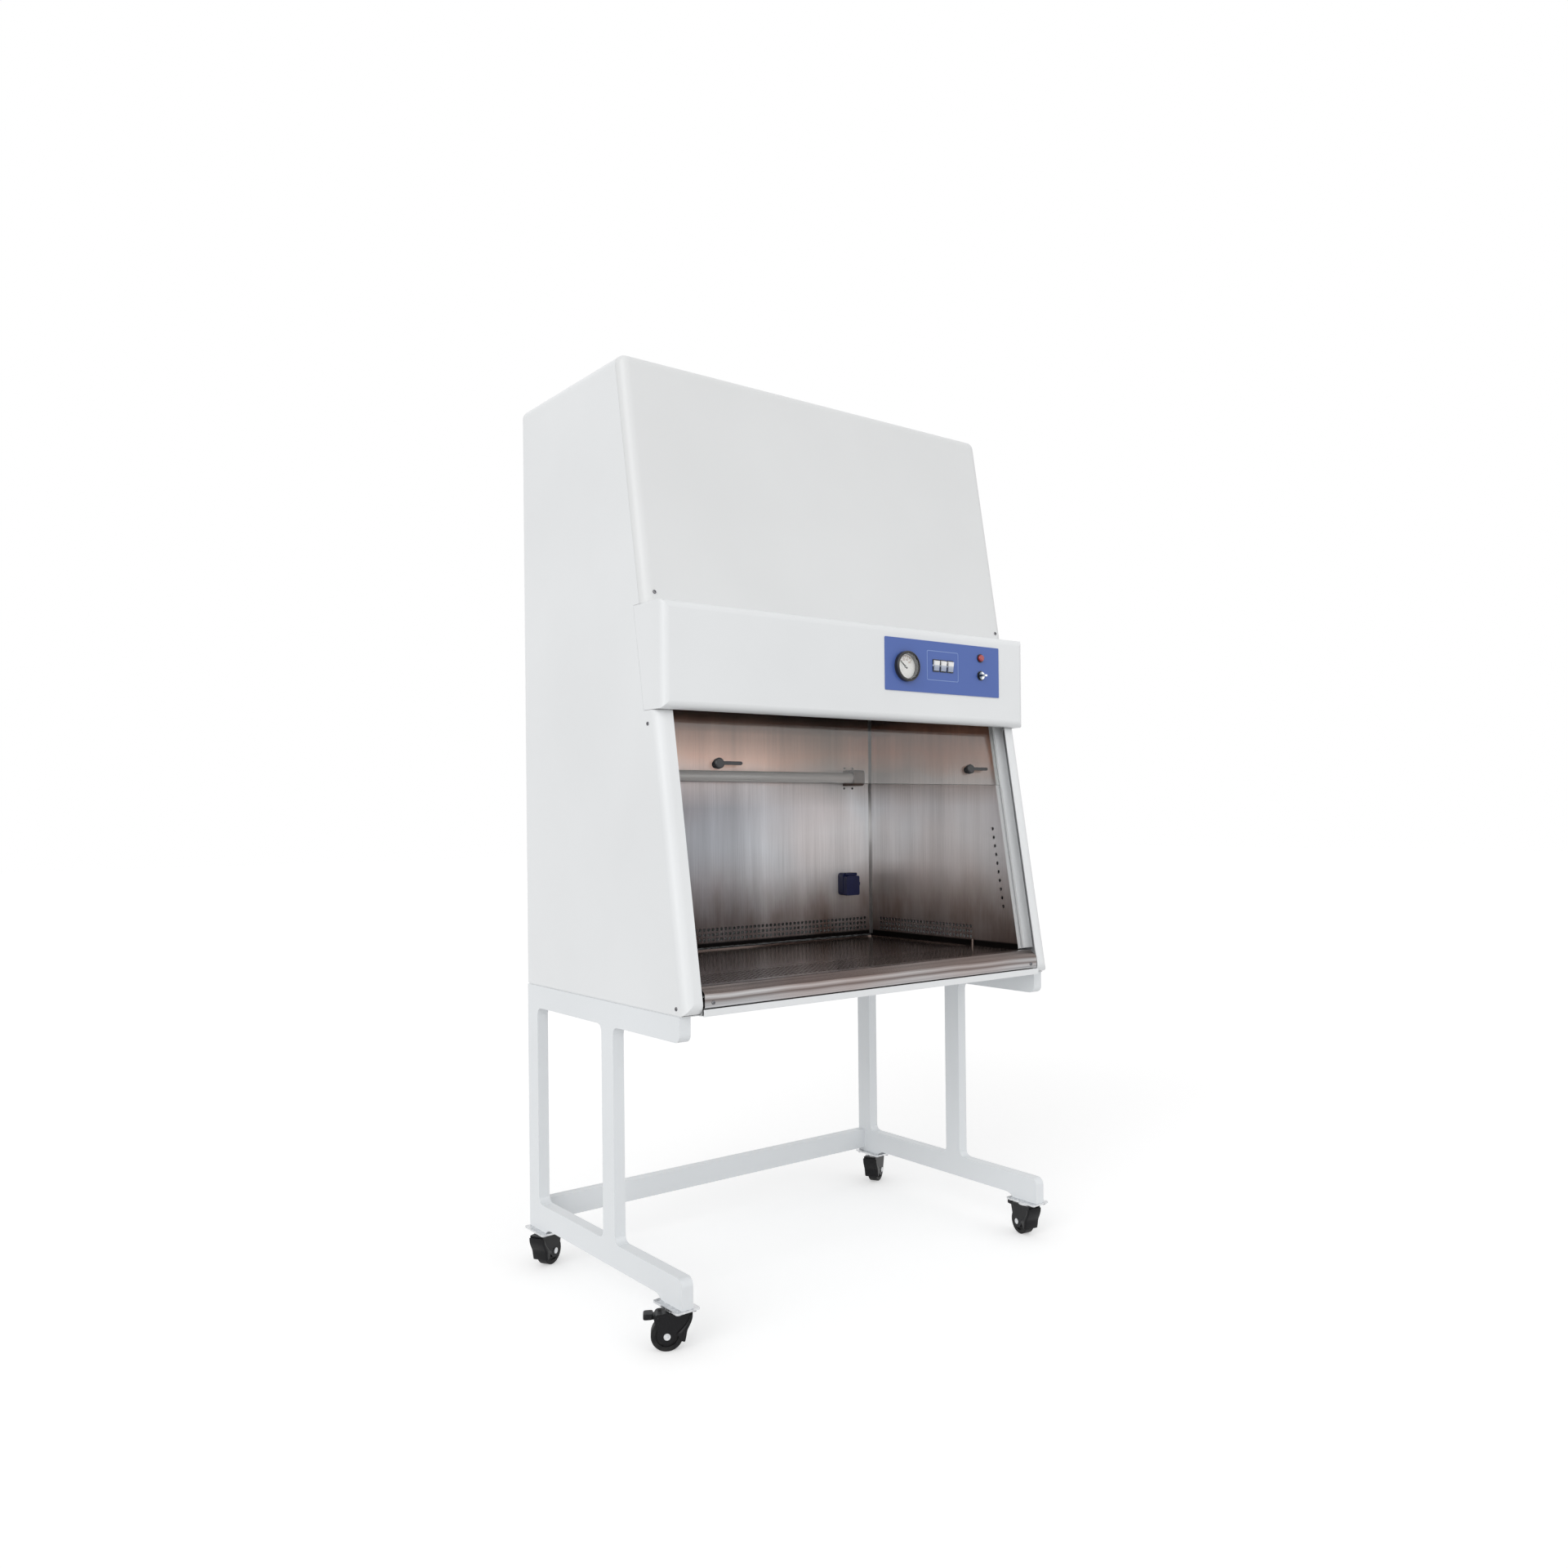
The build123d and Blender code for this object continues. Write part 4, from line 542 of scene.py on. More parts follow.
# the same white paint as the panels, made darker as painted shade for how light falls on the sloping cover
coverShadedWhite = powderCoat("coverShadedWhite", (0.733, 0.742, 0.745))
panWhite = tinted(powderCoat("panWhite", (0.79, 0.805, 0.815)), panSteelAndShade)
rockerWhite = tinted(mouldedPlastic("rockerWhite", (0.88, 0.88, 0.87), 0.28), rockerTone)
keyPlate = tinted(brightPlate("keyPlate", (0.70, 0.71, 0.73), (0.90, 0.91, 0.92)), keyPaintedHighlight)
holderBrown = mouldedPlastic("holderBrown", (0.115, 0.075, 0.058), 0.32)
# by node, where it differs from its slot's finish
nodeFinish = {
    "work_tray": flatSteel,
    "front_grille": flatSteel,
    "front_lip": lipSteel,
    "upper_front_cover": coverShadedWhite,
    "base_pan": panWhite,
    "rocker_1": rockerWhite,
    "rocker_2": rockerWhite,
    "rocker_3": rockerWhite,
    "key_switch": keyPlate,
    "lamp_holders": holderBrown,
}
slotOf = {row["node"]: row["material_slot"] for row in frame["record"]["subparts"]}
for name, part in nodes.items():
    part.data.materials.clear()
    part.data.materials.append(nodeFinish.get(name, finishes[slotOf[name]]))
print("finishes given to", len(nodes), "nodes")


# ---- making meshes from arrays of points
def addPiece(name, points, faces, material, body, smooth=False):
    mesh = bpy.data.meshes.new(name)
    mesh.from_pydata(np.asarray(points, dtype=float).reshape(-1, 3).tolist(), [], faces)
    mesh.polygons.foreach_set("use_smooth", [smooth] * len(mesh.polygons))
    mesh.materials.append(material)
    piece = bpy.data.objects.new(name, mesh)
    bpy.context.scene.collection.objects.link(piece)
    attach(piece, body)
    return piece


def weld(piece, distance=1e-6):
    # merges doubled points, at the edges of neighbouring cells and the poles of turned shapes
    work = bmesh.new()
    work.from_mesh(piece.data)
    bmesh.ops.remove_doubles(work, verts=work.verts, dist=distance)
    work.to_mesh(piece.data)
    work.free()


def thicken(piece, thickness):
    # gives a sheet its thickness, behind the side it faces
    solid = piece.modifiers.new("sheet", "SOLIDIFY")
    solid.thickness = thickness
    solid.offset = -1.0


def gridFaces(rows, columns, closed=False, start=0):
    # quads between neighbouring points of a rows x columns grid, closed where its columns meet again
    r, c = np.meshgrid(np.arange(rows - 1), np.arange(columns if closed else columns - 1), indexing="ij")
    r, c = r.ravel(), c.ravel()
    nextC = (c + 1) % columns
    corners = (r * columns + c, r * columns + nextC, (r + 1) * columns + nextC, (r + 1) * columns + c)
    return (np.stack(corners, axis=1) + start).tolist()


def joinGrids(grids):
    # several closed grids as one array of points and one list of faces
    points, faces, start = [], [], 0
    for grid in grids:
        rows, columns = grid.shape[:2]
        points.append(grid.reshape(-1, 3))
        faces += gridFaces(rows, columns, closed=True, start=start)
        start += rows * columns
    return np.concatenate(points), faces


# the two sides of the cabinet, and which way their sheets' faces have to turn to look inwards
hands = ((-1, "Left"), (1, "Right"))


def facingIn(faces, side):
    return faces if side > 0 else [face[::-1] for face in faces]


# the front slopes back by run over rise
bodyFront = {"rise": 1.320, "run": 0.235}


# ---- perforated steel of the chamber
perforated = {
    "pitch": 0.0125,
    "holeRadius": 0.0044,
    "sheet": 0.0015,
    "stripRows": 3,
    "stripRise": 0.012,
    "stripMargin": 0.013,
    "grilleMargin": 0.014,
    "columnHoles": 10,
    "columnLow": 0.1435,
    "columnHigh": 0.3535,
    "columnInset": 0.032,
    "columnWidth": 0.014,
    "columnDatum": 0.002,  # the column's heights are measured from this far under the wall
    "sideStripRear": 0.037,
    "sideStripLength": 0.370,
}
plainCell, holedCell, noCell = 0, 1, -1


def sheetWithHoles(uLines, vLines, kinds, radius, place, along):
    # Cell (i, j) lies between lines i, i+1 and j, j+1. Its rim is eight points, corners and middles, at
    # centre + (bu hu, bv hv), with bu and bv each -1, 0 or 1. A holed cell has eight quads from that rim
    # to the ring centre + radius (cos a along u + sin a along v), and a plain cell is one face.
    rimPoints = 8
    angle = np.arange(rimPoints) * 2 * math.pi / rimPoints
    edgeU = np.sign(np.round(np.cos(angle), 6))
    edgeV = np.sign(np.round(np.sin(angle), 6))
    u, v = (a.ravel()[:, None] for a in np.meshgrid(
        (uLines[1:] + uLines[:-1]) / 2, (vLines[1:] + vLines[:-1]) / 2, indexing="ij"))
    hu, hv = (a.ravel()[:, None] / 2 for a in np.meshgrid(np.diff(uLines), np.diff(vLines), indexing="ij"))
    rim = place(u + edgeU * hu, v + edgeV * hv)
    middle = place(u, v)
    circle = np.cos(angle)[:, None] * np.array(along[0]) + np.sin(angle)[:, None] * np.array(along[1])
    ring = middle + radius * circle
    flags = kinds.ravel()
    index = np.arange(len(flags) * rimPoints).reshape(-1, rimPoints)
    outer = index[flags == holedCell]
    inner = outer + len(flags) * rimPoints
    quads = np.stack((outer, np.roll(outer, -1, 1), np.roll(inner, -1, 1), inner), axis=-1).reshape(-1, 4)
    points = np.concatenate((rim.reshape(-1, 3), ring.reshape(-1, 3)))
    return points, quads.tolist() + index[flags == plainCell].tolist()


def evenLines(low, high, margin, pitch):
    # low, then cell edges a pitch apart centred between the margins, then high
    count = int((high - low - 2 * margin) / pitch)
    first = (low + high - count * pitch) / 2
    return np.concatenate(([low], first + pitch * np.arange(count + 1), [high]))


def perforatedPiece(name, points, faces, finish, p):
    piece = addPiece(name, points, faces, finish, "cabinet")
    weld(piece)
    thicken(piece, p["sheet"])
    return piece


def makeRearWall(p):
    # upright flat sheet: (u, v) -> (u, face, v), holed in rows along its foot
    low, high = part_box("chamber_rear_wall")
    across = evenLines(low.x, high.x, p["stripMargin"], p["pitch"])
    foot = low.z + p["stripRise"] + p["pitch"] * np.arange(p["stripRows"] + 1)
    up = np.concatenate(([low.z], foot, [high.z]))
    kinds = np.full((len(across) - 1, len(up) - 1), plainCell)
    kinds[1:-1, 1:-1] = holedCell

    def place(u, v):
        u, v = np.broadcast_arrays(u, v)
        return np.stack((u, 0 * u + low.y, v), axis=-1)

    points, faces = sheetWithHoles(across, up, kinds, p["holeRadius"], place, ((1, 0, 0), (0, 0, 1)))
    piece = perforatedPiece("perforatedRearWall", points, faces, finishes["stainless"], p)
    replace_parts(piece, "chamber_rear_wall")


def makeSideWalls(p):
    # upright flat sheet with a sloping front edge. u runs from the rear: up to fixedEnd it is a plain
    # distance, past edgeStart it is measured back from the slope, and between them the two are blended
    low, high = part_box("chamber_side_walls")
    inside = high.x - p["sheet"]
    length = high.y - low.y
    edgeStart = length - p["columnInset"] - p["columnWidth"]
    stripLines = p["sideStripRear"] + p["pitch"] * np.arange(int(p["sideStripLength"] / p["pitch"]) + 1)
    uLines = np.concatenate(([0.0], stripLines, [edgeStart, edgeStart + p["columnWidth"], length]))
    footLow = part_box("chamber_rear_wall")[0].z + p["stripRise"]
    foot = footLow + p["pitch"] * np.arange(p["stripRows"] + 1)
    column = low.z - p["columnDatum"] + np.linspace(p["columnLow"], p["columnHigh"], p["columnHoles"] + 1)
    vLines = np.concatenate(([low.z], foot, column, [high.z]))
    kinds = np.full((len(uLines) - 1, len(vLines) - 1), plainCell)
    kinds[1:len(stripLines), 1:p["stripRows"] + 1] = holedCell
    firstColumn = len(foot) + 1
    kinds[-2, firstColumn:firstColumn + p["columnHoles"]] = holedCell
    fixedEnd = stripLines[-1]

    def alongWall(u, v):
        share = np.clip((u - fixedEnd) / (edgeStart - fixedEnd), 0.0, 1.0)
        frontEdge = low.y + (v - low.z) * bodyFront["run"] / bodyFront["rise"]
        return (1 - share) * (high.y - u) + share * (frontEdge + length - u)

    for side, hand in hands:
        def place(u, v):
            u, v = np.broadcast_arrays(u, v)
            return np.stack((0 * u + side * inside, alongWall(u, v), v), axis=-1)

        points, faces = sheetWithHoles(uLines, vLines, kinds, p["holeRadius"], place, ((0, -1, 0), (0, 0, 1)))
        finish = finishes["stainless"]
        piece = perforatedPiece(f"perforatedWall{hand}", points, facingIn(faces, side), finish, p)
        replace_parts(piece, "chamber_side_walls")


def makeGrille(p):
    # a flat field of holes whose outer ring of cells is folded down:
    # (u, v) -> (u, v, top) held inside the box's edges, less a drop of however far u or v was past them
    low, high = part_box("front_grille")
    fold = high.z - low.z

    def lines(start, end):
        flat = evenLines(start, end, p["grilleMargin"], p["pitch"])
        return np.concatenate(([start - fold], flat, [end + fold]))

    across, deep = lines(low.x, high.x), lines(low.y, high.y)
    kinds = np.full((len(across) - 1, len(deep) - 1), plainCell)
    kinds[2:-2, 2:-2] = holedCell
    kinds[::len(across) - 2, ::len(deep) - 2] = noCell

    def place(u, v):
        u, v = np.broadcast_arrays(u, v)
        drop = np.maximum.reduce((low.x - u, u - high.x, low.y - v, v - high.y, 0 * u))
        return np.stack((np.clip(u, low.x, high.x), np.clip(v, low.y, high.y), high.z - drop), axis=-1)

    points, faces = sheetWithHoles(across, deep, kinds, p["holeRadius"], place, ((1, 0, 0), (0, 1, 0)))
    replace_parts(perforatedPiece("perforatedGrille", points, faces, flatSteel, p), "front_grille")


cove = {"radius": 0.006, "steps": 7, "seat": 0.0002, "topGap": 0.001}


def makeCoves(c):
    # upright corner strips: (a, v) -> corner + radius (1 - sin a, 1 - cos a) inwards, quarter round in plan
    low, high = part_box("chamber_rear_wall")
    angle = np.linspace(0.0, math.pi / 2, c["steps"])[:, None]
    height = np.array([[low.z, high.z - c["topGap"]]])
    for side, hand in hands:
        x = side * (high.x - c["seat"] - c["radius"] * (1 - np.sin(angle))) + 0 * height
        y = low.y - c["seat"] - c["radius"] * (1 - np.cos(angle)) + 0 * height
        points = np.stack((x, y, height + 0 * angle), axis=-1)
        faces = facingIn(gridFaces(c["steps"], 2), side)
        strip = addPiece(f"cornerCove{hand}", points, faces, coveSteel, "cabinet", smooth=True)
        thicken(strip, c["seat"])


makeRearWall(perforated)
makeSideWalls(perforated)
makeGrille(perforated)
makeCoves(cove)
print("perforated sheets and corner strips made")


# ---- gauge dial print, and the line printed round the rockers
dialPrint = {
    "sweep": math.radians(50),
    "arcSteps": 49,
    "ticks": 31,
    "majorEvery": 5,
    "outer": 0.0245,
    "minorLength": 0.0026,
    "majorLength": 0.0046,
    "minorWidth": 0.00035,
    "majorWidth": 0.0008,
    "numbers": ("0", "20", "40", "60"),
    "numberHeight": 0.0070,
    "numberRadius": 0.0160,
    "above": 0.00008,
    "pointerGap": 0.0003,  # from the dial's face to the pointer's back
}


def flatText(words, height, centre):
    # a number as a flat mesh, its x to the right and its y turned up, centred on a place
    curve = bpy.data.curves.new("dialNumber", "FONT")
    curve.body = words
    curve.size = height
    curve.align_x = "CENTER"
    curve.align_y = "CENTER"
    holder = bpy.data.objects.new("dialNumber", curve)
    mesh = bpy.data.meshes.new_from_object(holder)
    points = np.empty(len(mesh.vertices) * 3)
    mesh.vertices.foreach_get("co", points)
    x, y = points.reshape(-1, 3)[:, :2].T
    faces = [tuple(face.vertices) for face in mesh.polygons]
    placed = np.stack((x + centre[0], 0 * x + centre[1], y + centre[2]), axis=-1)
    bpy.data.objects.remove(holder)
    bpy.data.curves.remove(curve)
    bpy.data.meshes.remove(mesh)
    return placed, faces


def makeDialPrint(d):
    # tick k is a bar at angle a from upright, from radius outer - length to outer, with its corners at
    # (r sin a + w cos a, r cos a - w sin a); the arc joins the ticks' outer ends
    low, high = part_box("gauge_dial")
    middleX, middleZ = (low.x + high.x) / 2, (low.z + high.z) / 2
    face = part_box("gauge_pointer")[1].y + d["pointerGap"] - d["above"]
    angle = np.linspace(-d["sweep"], d["sweep"], d["ticks"])[:, None]
    major = (np.arange(d["ticks"]) % d["majorEvery"] == 0)[:, None]
    inner = d["outer"] - np.where(major, d["majorLength"], d["minorLength"])
    width = np.where(major, d["majorWidth"], d["minorWidth"]) / 2
    outer = d["outer"] + 0 * inner
    r = np.concatenate((inner, inner, outer, outer), axis=1)
    w = np.concatenate((-width, width, width, -width), axis=1)
    x = middleX + r * np.sin(angle) + w * np.cos(angle)
    z = middleZ + r * np.cos(angle) - w * np.sin(angle)
    points = [np.stack((x, 0 * x + face, z), axis=-1).reshape(-1, 3)]
    faces = np.arange(d["ticks"] * 4).reshape(-1, 4).tolist()
    arc = np.linspace(-d["sweep"], d["sweep"], d["arcSteps"])[:, None]
    rim = d["outer"] + np.array([[0.0, d["majorWidth"]]])
    band = np.stack((middleX + rim * np.sin(arc), 0 * rim * arc + face, middleZ + rim * np.cos(arc)), axis=-1)
    points.append(band.reshape(-1, 3))
    faces += gridFaces(d["arcSteps"], 2, start=d["ticks"] * 4)
    places = np.linspace(-d["sweep"], d["sweep"], len(d["numbers"]))
    for words, a in zip(d["numbers"], places):
        centre = (middleX + d["numberRadius"] * math.sin(a), face, middleZ + d["numberRadius"] * math.cos(a))
        letters, letterFaces = flatText(words, d["numberHeight"], centre)
        start = sum(len(part) for part in points)
        points.append(letters)
        faces += [tuple(i + start for i in corners) for corners in letterFaces]
    addPiece("dialMarks", np.concatenate(points), faces, inkBrown, "cabinet")


rockerLine = {
    "halfWidth": 0.049,
    "halfHeight": 0.034,
    "line": 0.0016,
    "corner": 0.004,
    "cornerSteps": 7,
    "above": 0.00008,
}


def makeRockerLine(d):
    # a rounded rectangle drawn as two rings: ring point = corner centre + (radius + offset) (cos a, sin a)
    low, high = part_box("rocker_1")[0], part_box("rocker_3")[1]
    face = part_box("control_panel")[0].y - d["above"]
    steps = d["cornerSteps"]
    angle = np.concatenate([np.linspace(q, q + 1, steps) for q in range(4)]) * math.pi / 2
    signX = np.repeat((1, -1, -1, 1), steps)
    signZ = np.repeat((1, 1, -1, -1), steps)
    rings = []
    for offset in (0.0, -d["line"]):
        radius = d["corner"] + offset
        x = (low.x + high.x) / 2 + signX * (d["halfWidth"] - d["corner"]) + radius * np.cos(angle)
        z = (low.z + high.z) / 2 + signZ * (d["halfHeight"] - d["corner"]) + radius * np.sin(angle)
        rings.append(np.stack((x, 0 * x + face, z), axis=-1))
    points, faces = joinGrids([np.stack(rings)])
    addPiece("rockerLine", points, faces, inkPale, "cabinet")


inkBrown = mouldedPlastic("inkBrown", (0.34, 0.17, 0.10), 0.6, 900.0, 0.02)
inkPale = mouldedPlastic("inkPale", (0.20, 0.29, 0.56), 0.5, 900.0, 0.02)
makeDialPrint(dialPrint)
makeRockerLine(rockerLine)
print("print on the dial and panel made")


# ---- screw and bolt heads
millimetre = 0.001
halves = (-0.5, 0.5)
heads = {
    # turned profiles: radius and height over the surface in mm, and 1 where the ring is a hexagon
    "screw": {
        "sides": 24,
        "profile": (
            (4.0, 0.0, 0),
            (4.0, 0.8, 0),
            (3.6, 1.4, 0),
            (2.6, 1.8, 0),
            (2.0, 1.8, 1),
            (1.9, 0.7, 1),
            (0.0, 0.7, 0),
        ),
    },
    "bolt": {
        "sides": 24,
        "profile": ((5.0, 0.0, 1), (5.0, 2.8, 1), (4.3, 3.5, 0), (1.5, 3.5, 0), (0.0, 3.3, 0)),
    },
    # the rest in metres: heights are from the body's foot, insets from the edge that each is measured from
    "bodyFoot": 0.640,
    "bodyHalfWidth": 0.500,
    "bodyFrontY": -0.350,
    "casterBolts": (0.034, 0.074),
    "kingpinInset": (0.0125, 0.046),
    "plateSheet": 0.004,
    "sideHeights": (0.562, 0.015),
    "sideInset": 0.035,
    "coverHeight": 0.824,
    "coverSide": 0.476,
    "apronHeight": 0.025,
    "apronSide": 0.439,
    "apronDepth": 0.0036,
    "holderScrews": (0.028, 0.054),
    "holderInset": 0.016,
    "holderScale": 0.75,
}


def headRings(kind, centre, normal, scale=1.0):
    # lathe surface: ring i, angle a -> centre + normal h_i + r_i g(a) (side cos a + up sin a), where
    # g(a) = cos 30 / cos(a mod 60 - 30) makes a ring a hexagon
    normal = np.array(normal, dtype=float)
    nearlyUpright = abs(normal[2]) > 0.9
    side = np.cross(normal, (0.0, 1.0, 0.0) if nearlyUpright else (0.0, 0.0, 1.0))
    side /= np.linalg.norm(side)
    up = np.cross(normal, side)
    radius, height, hexed = (np.array(column, dtype=float)[:, None] for column in zip(*kind["profile"]))
    angle = np.arange(kind["sides"]) * 2 * math.pi / kind["sides"]
    flat = math.cos(math.pi / 6) / np.cos(np.mod(angle, math.pi / 3) - math.pi / 6)
    reach = radius * scale * millimetre * np.where(hexed > 0, flat, 1.0)
    lift = height * millimetre + 0 * reach
    around = np.cos(angle)[:, None] * side + np.sin(angle)[:, None] * up
    return np.array(centre) + lift[..., None] * normal + reach[..., None] * around


def casterBolts(h):
    # four under each plate, round its kingpin
    plateLow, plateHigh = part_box("caster_plates")
    for corner in ("fl", "fr", "rl", "rr"):
        forkLow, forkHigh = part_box(f"caster_{corner}_fork")
        pinX = math.copysign(h["bodyHalfWidth"] - h["kingpinInset"][0], forkLow.x + forkHigh.x)
        inset = h["kingpinInset"][1]
        pinY = plateLow.y + inset if corner[0] == "f" else plateHigh.y - inset
        for alongX in halves:
            for alongY in halves:
                x, y = pinX + alongX * h["casterBolts"][0], pinY + alongY * h["casterBolts"][1]
                yield h["bolt"], (x, y, plateHigh.z - h["plateSheet"]), (0, 0, -1), 1.0


def bodyScrews(h):
    # on each side panel near the front edge, in the sloping cover's corner and in the apron
    foot, front = h["bodyFoot"], h["bodyFrontY"]
    length = math.hypot(bodyFront["rise"], bodyFront["run"])
    slopeCos, slopeSin = bodyFront["rise"] / length, bodyFront["run"] / length

    def slopeY(height, inset):
        return front + height * slopeSin / slopeCos + inset / slopeCos

    for side in (-1, 1):
        for height in h["sideHeights"]:
            centre = (side * h["bodyHalfWidth"], slopeY(height, h["sideInset"]), foot + height)
            yield h["screw"], centre, (side, 0, 0), 1.0
        cover = (side * h["coverSide"], slopeY(h["coverHeight"], 0.0), foot + h["coverHeight"])
        yield h["screw"], cover, (0, -slopeCos, slopeSin), 1.0
        apron = (side * h["apronSide"], front + h["apronDepth"], foot + h["apronHeight"])
        yield h["screw"], apron, (0, -1, 0), 1.0


def holderScrews(h):
    # four round each lamp holder
    low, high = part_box("uv_tube")
    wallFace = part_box("chamber_rear_wall")[0].y
    for end in (-1, 1):
        for alongX in halves:
            for alongZ in halves:
                x = end * (high.x - h["holderInset"]) + alongX * h["holderScrews"][0]
                z = (low.z + high.z) / 2 + alongZ * h["holderScrews"][1]
                yield h["screw"], (x, wallFace, z), (0, -1, 0), h["holderScale"]


def makeHeads(h):
    placed = [*casterBolts(h), *bodyScrews(h), *holderScrews(h)]
    points, faces = joinGrids([headRings(*head) for head in placed])
    piece = addPiece("screwHeads", points, faces, screwSteel, "cabinet")
    weld(piece, distance=1e-5)
    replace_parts(piece, "fasteners")


screwSteel = brightPlate("screwSteel", (0.13, 0.13, 0.14), (0.22, 0.22, 0.23))
makeHeads(heads)
print("screw heads made")


# ---- casters: moulded guards over the forks, and the brake pedals
casters = {
    # in millimetres in the wheel's plane: x the way the wheel trails from the kingpin, z up
    "guardPath": ((-29.6, 73.0), (-29.6, 62.0), (-24.5, 50.0), (-19.0, 40.0), (-17.6, 29.0), (-14.5, 17.5)),
    "guardReach": (5.0, 10.0, 17.0, 20.0, 15.0, 5.0),
    "guardHalfWidth": 18.4,
    "guardShoulder": 3.0,
    "shoulderSteps": 5,
    "guardSteps": 33,
    "guardSoftening": 7,  # neighbouring points averaged, an odd number
    "guardSheet": 1.2,
    "axle": (18.0, 31.0),
    "pivot": (34.0, 65.0),
    # turned like the screws' heads
    "pin": {
        "sides": 20,
        "profile": (
            (0.0, -17.0, 0),
            (3.0, -17.0, 0),
            (3.0, -12.0, 0),
            (5.5, -12.0, 0),
            (5.5, 12.0, 0),
            (3.0, 12.0, 0),
            (3.0, 17.0, 0),
            (0.0, 17.0, 0),
        ),
    },
    # middle and half sizes along, across and up, and the roundness of the corners
    "arm": ((43.0, 0.0, 66.0), (12.5, 11.5, 4.4), 0.45),
    "pad": ((53.6, 0.0, 68.0), (9.6, 15.0, 5.5), 0.38),
    "blockSteps": (20, 40),
}


def roundedBlock(middle, half, roundness, steps):
    # superellipsoid: with c(t) = sgn(cos t) |cos t|^roundness and s(t) likewise with sin,
    # (v, u) -> middle + (a c(v) c(u), b c(v) s(u), h s(v))
    v = np.linspace(-math.pi / 2, math.pi / 2, steps[0])[:, None]
    u = (np.arange(steps[1]) * 2 * math.pi / steps[1])[None, :]

    def bend(wave):
        return np.sign(wave) * np.abs(wave) ** roundness

    x = middle[0] + half[0] * bend(np.cos(v)) * bend(np.cos(u))
    y = middle[1] + half[1] * bend(np.cos(v)) * bend(np.sin(u))
    z = middle[2] + half[2] * bend(np.sin(v)) + 0 * u
    return np.stack((x, y, z), axis=-1)


def guardSurface(c):
    # (s, t) -> path(s) moved towards the axle by reach(s) where t runs over a cheek, and across the width
    # on the rim between them, the corner a quarter round of the shoulder's radius
    knots = np.linspace(0.0, 1.0, len(c["guardPath"]))
    s = np.linspace(0.0, 1.0, c["guardSteps"])
    window = np.ones(c["guardSoftening"]) / c["guardSoftening"]

    def soft(values):
        ends = np.pad(np.interp(s, knots, values), len(window) // 2, mode="edge")
        return np.convolve(ends, window, "valid")

    pathX, pathZ = (soft(column) for column in zip(*c["guardPath"]))
    inwardX, inwardZ = c["axle"][0] - pathX, c["axle"][1] - pathZ
    length = np.hypot(inwardX, inwardZ)
    quarter = np.linspace(0.0, math.pi / 2, c["shoulderSteps"])
    shoulder = c["guardShoulder"]
    cheekDepth = np.concatenate(([1.0], 0 * quarter))
    cornerDepth = np.concatenate(([0.0], shoulder * (1 - np.sin(quarter))))
    width = np.concatenate(([c["guardHalfWidth"]], c["guardHalfWidth"] - shoulder * (1 - np.cos(quarter))))
    cheekDepth, cornerDepth = (np.concatenate((a, a[::-1])) for a in (cheekDepth, cornerDepth))
    width = np.concatenate((width, -width[::-1]))
    depth = soft(c["guardReach"])[:, None] * cheekDepth + cornerDepth
    x = pathX[:, None] + inwardX[:, None] / length[:, None] * depth
    z = pathZ[:, None] + inwardZ[:, None] / length[:, None] * depth
    return np.stack((x, width + 0 * x, z), axis=-1)


def pedalGrids(c):
    # the arm and the pad, and the pin across them, turned on y and moved to the pivot
    blocks = [roundedBlock(*c[name], c["blockSteps"]) for name in ("arm", "pad")]
    pin = headRings(c["pin"], (0.0, 0.0, 0.0), (0.0, 1.0, 0.0)) / millimetre
    return [*blocks, pin + np.array((c["pivot"][0], 0.0, c["pivot"][1]))]


def fromWheelPlane(points, kingpin, trail):
    # (x, y, z) mm -> kingpin + x trail + y (trail turned a quarter) in metres, z up
    x, y, z = np.moveaxis(points * millimetre, -1, 0)
    worldX = kingpin[0] + x * trail[0] - y * trail[1]
    worldY = kingpin[1] + x * trail[1] + y * trail[0]
    return np.stack((worldX, worldY, z), axis=-1)


def makeCasters(c):
    joints = {row["name"]: row for row in frame["record"]["behaviour"]["joints"]}
    guard, pedalParts = guardSurface(c), pedalGrids(c)
    black = finishes["caster_black"]
    for corner in ("fl", "fr", "rl", "rr"):
        kingpin = joints[f"swivel_{corner}_turn"]["pos_m"]
        axle = joints[f"wheel_{corner}_roll"]["pos_m"]
        trail = np.array((axle[0] - kingpin[0], axle[1] - kingpin[1]))
        trail /= np.linalg.norm(trail)
        placed = fromWheelPlane(guard, kingpin, trail)
        faces = gridFaces(*placed.shape[:2])
        name, body = f"casterGuard{corner.title()}", f"swivel_{corner}"
        cover = addPiece(name, placed, faces, black, body, smooth=True)
        thicken(cover, c["guardSheet"] * millimetre)
        points, faces = joinGrids([fromWheelPlane(grid, kingpin, trail) for grid in pedalParts])
        name, body = f"brakePedal{corner.title()}", f"pedal_{corner}"
        pedal = addPiece(name, points, faces, black, body, smooth=True)
        weld(pedal, distance=1e-5)
        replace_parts(pedal, f"caster_{corner}_pedal")


makeCasters(casters)
print("caster guards and brake pedals made")


# ---- studio: floor, world and soft light
studio = {
    "floorSide": 60.0,
    "floorTone": (0.80, 0.80, 0.80),
    "floorLift": 0.37,
    "worldStrength": 0.64,
    "suns": (
        # strength, angle of its disc in degrees, direction it shines
        (1.10, 50.0, (0.80, 0.42, -0.45)),
        (0.55, 70.0, (-0.20, 0.95, -0.20)),
    ),
}


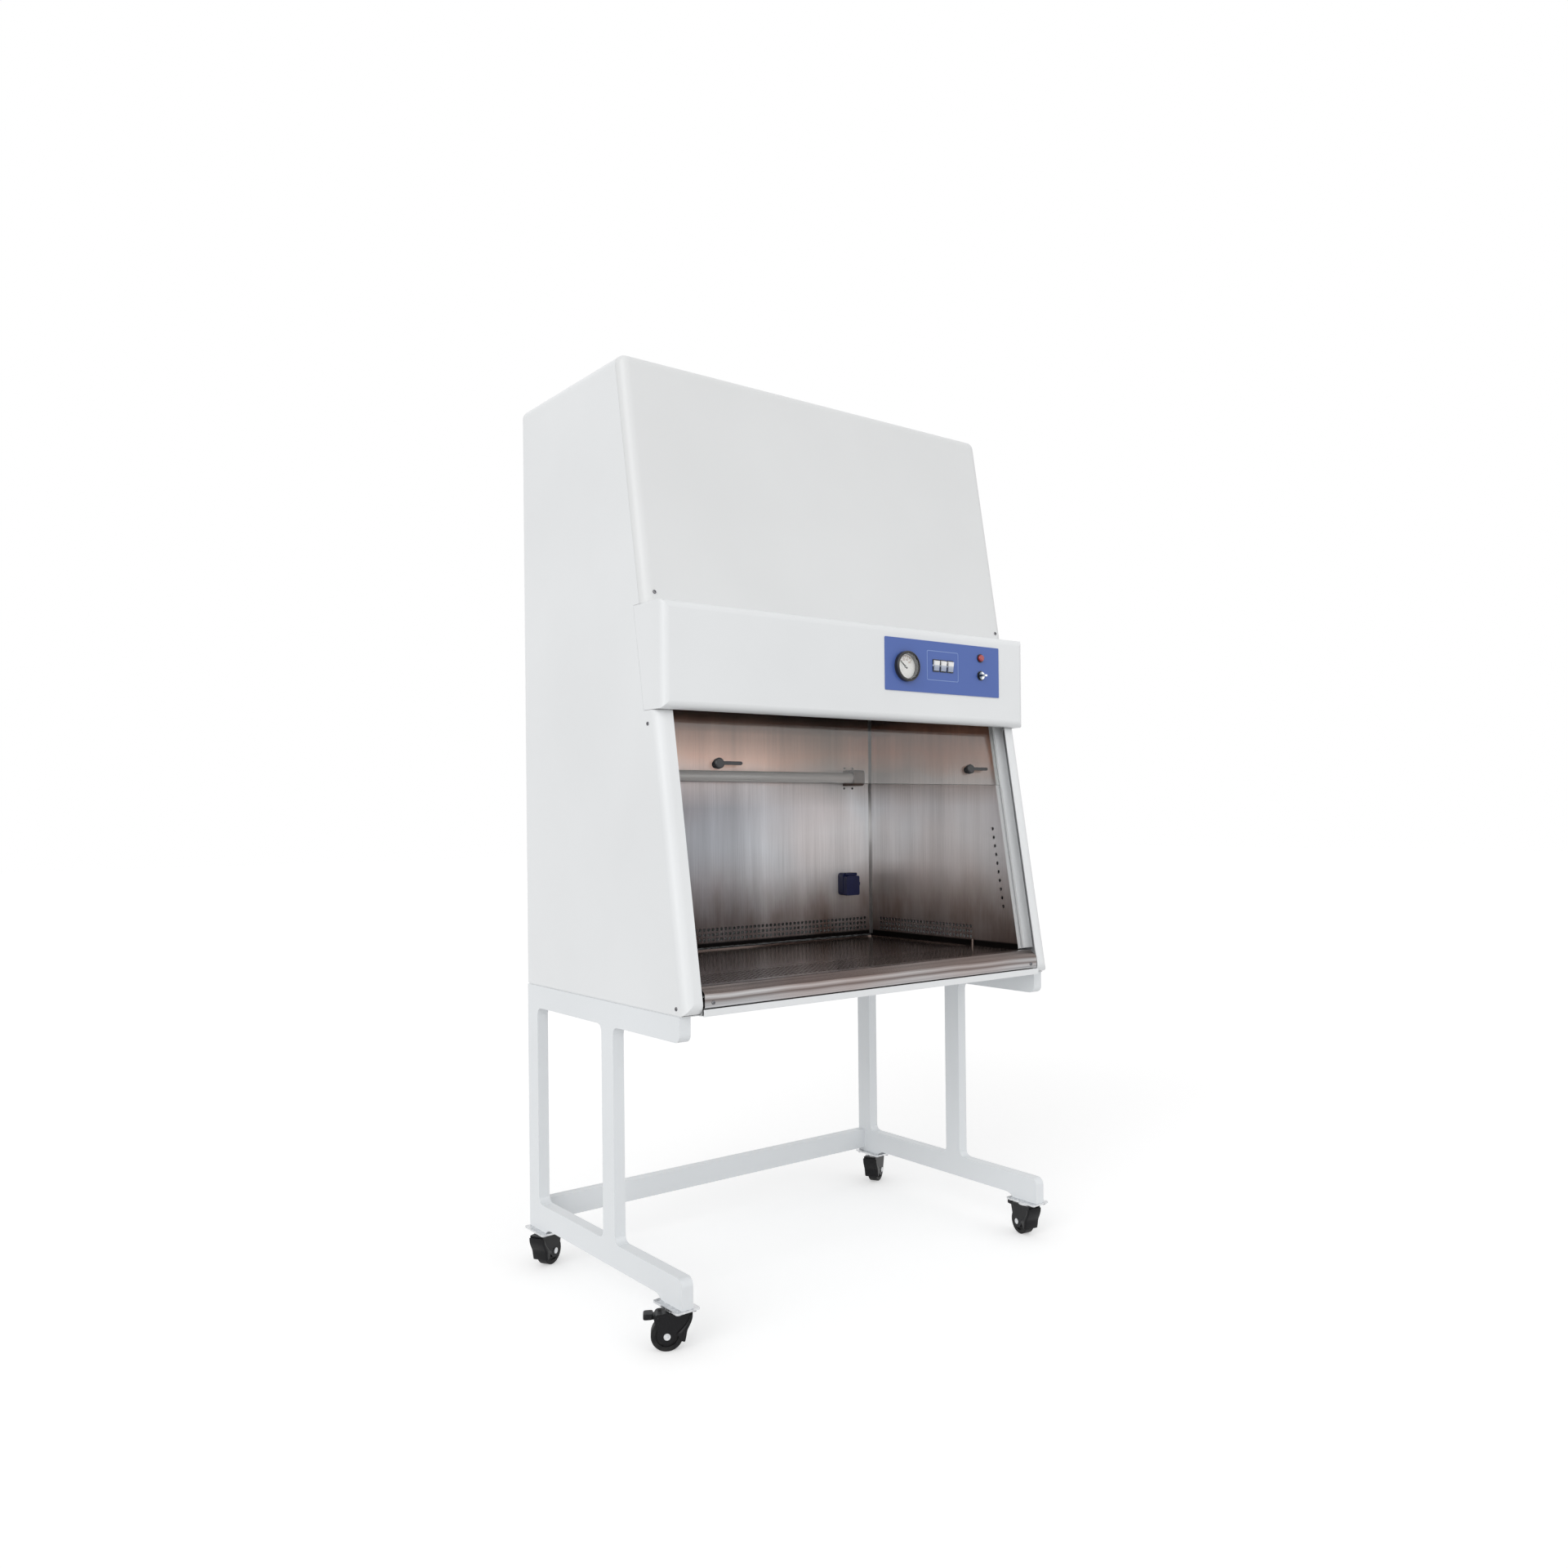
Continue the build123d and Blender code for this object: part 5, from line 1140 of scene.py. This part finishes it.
def seenDirectly(tree):
    # 1 for rays that show the surroundings: camera, mirror and through glass
    path = node(tree, "ShaderNodeLightPath")
    total = path.outputs["Is Camera Ray"]
    for kind in ("Is Glossy Ray", "Is Transmission Ray"):
        add = node(tree, "ShaderNodeMath", operation="MAXIMUM")
        tree.links.new(total, add.inputs[0])
        tree.links.new(path.outputs[kind], add.inputs[1])
        total = add.outputs["Value"]
    return total


def makeFloor(s):
    half = s["floorSide"] / 2
    mesh = bpy.data.meshes.new("studioFloor")
    corners = [(-half, -half, 0), (half, -half, 0), (half, half, 0), (-half, half, 0)]
    mesh.from_pydata(corners, [], [(0, 1, 2, 3)])
    floor = bpy.data.objects.new("studioFloor", mesh)
    bpy.context.scene.collection.objects.link(floor)
    material = bpy.data.materials.new("studioFloor")
    material.use_nodes = True
    tree = material.node_tree
    tree.nodes.remove(tree.nodes["Principled BSDF"])
    paint = node(tree, "ShaderNodeBsdfDiffuse")
    paint.inputs["Color"].default_value = (*s["floorTone"], 1.0)
    glow = node(tree, "ShaderNodeEmission")
    lift = node(tree, "ShaderNodeMath", operation="MULTIPLY")
    lift.inputs[1].default_value = s["floorLift"]
    tree.links.new(seenDirectly(tree), lift.inputs[0])
    tree.links.new(lift.outputs["Value"], glow.inputs["Strength"])
    both = node(tree, "ShaderNodeAddShader")
    tree.links.new(paint.outputs["BSDF"], both.inputs[0])
    tree.links.new(glow.outputs["Emission"], both.inputs[1])
    tree.links.new(both.outputs["Shader"], tree.nodes["Material Output"].inputs["Surface"])
    mesh.materials.append(material)


def makeWorld(s):
    world = bpy.data.worlds.new("studioWorld")
    world.use_nodes = True
    tree = world.node_tree
    background = tree.nodes["Background"]
    background.inputs["Color"].default_value = (1.0, 1.0, 1.0, 1.0)
    level = node(tree, "ShaderNodeMapRange")
    level.inputs["To Min"].default_value = s["worldStrength"]
    level.inputs["To Max"].default_value = 1.0
    tree.links.new(seenDirectly(tree), level.inputs["Value"])
    tree.links.new(level.outputs["Result"], background.inputs["Strength"])
    bpy.context.scene.world = world


def makeSuns(s):
    for number, (strength, disc, direction) in enumerate(s["suns"]):
        light = bpy.data.lights.new(f"softSun{number}", "SUN")
        light.energy = strength
        light.angle = math.radians(disc)
        lamp = bpy.data.objects.new(f"softSun{number}", light)
        lamp.rotation_euler = Vector(direction).to_track_quat("-Z", "Y").to_euler()
        bpy.context.scene.collection.objects.link(lamp)


makeFloor(studio)
makeWorld(studio)
makeSuns(studio)
bpy.context.scene.view_settings.view_transform = "Standard"
print("studio lit")
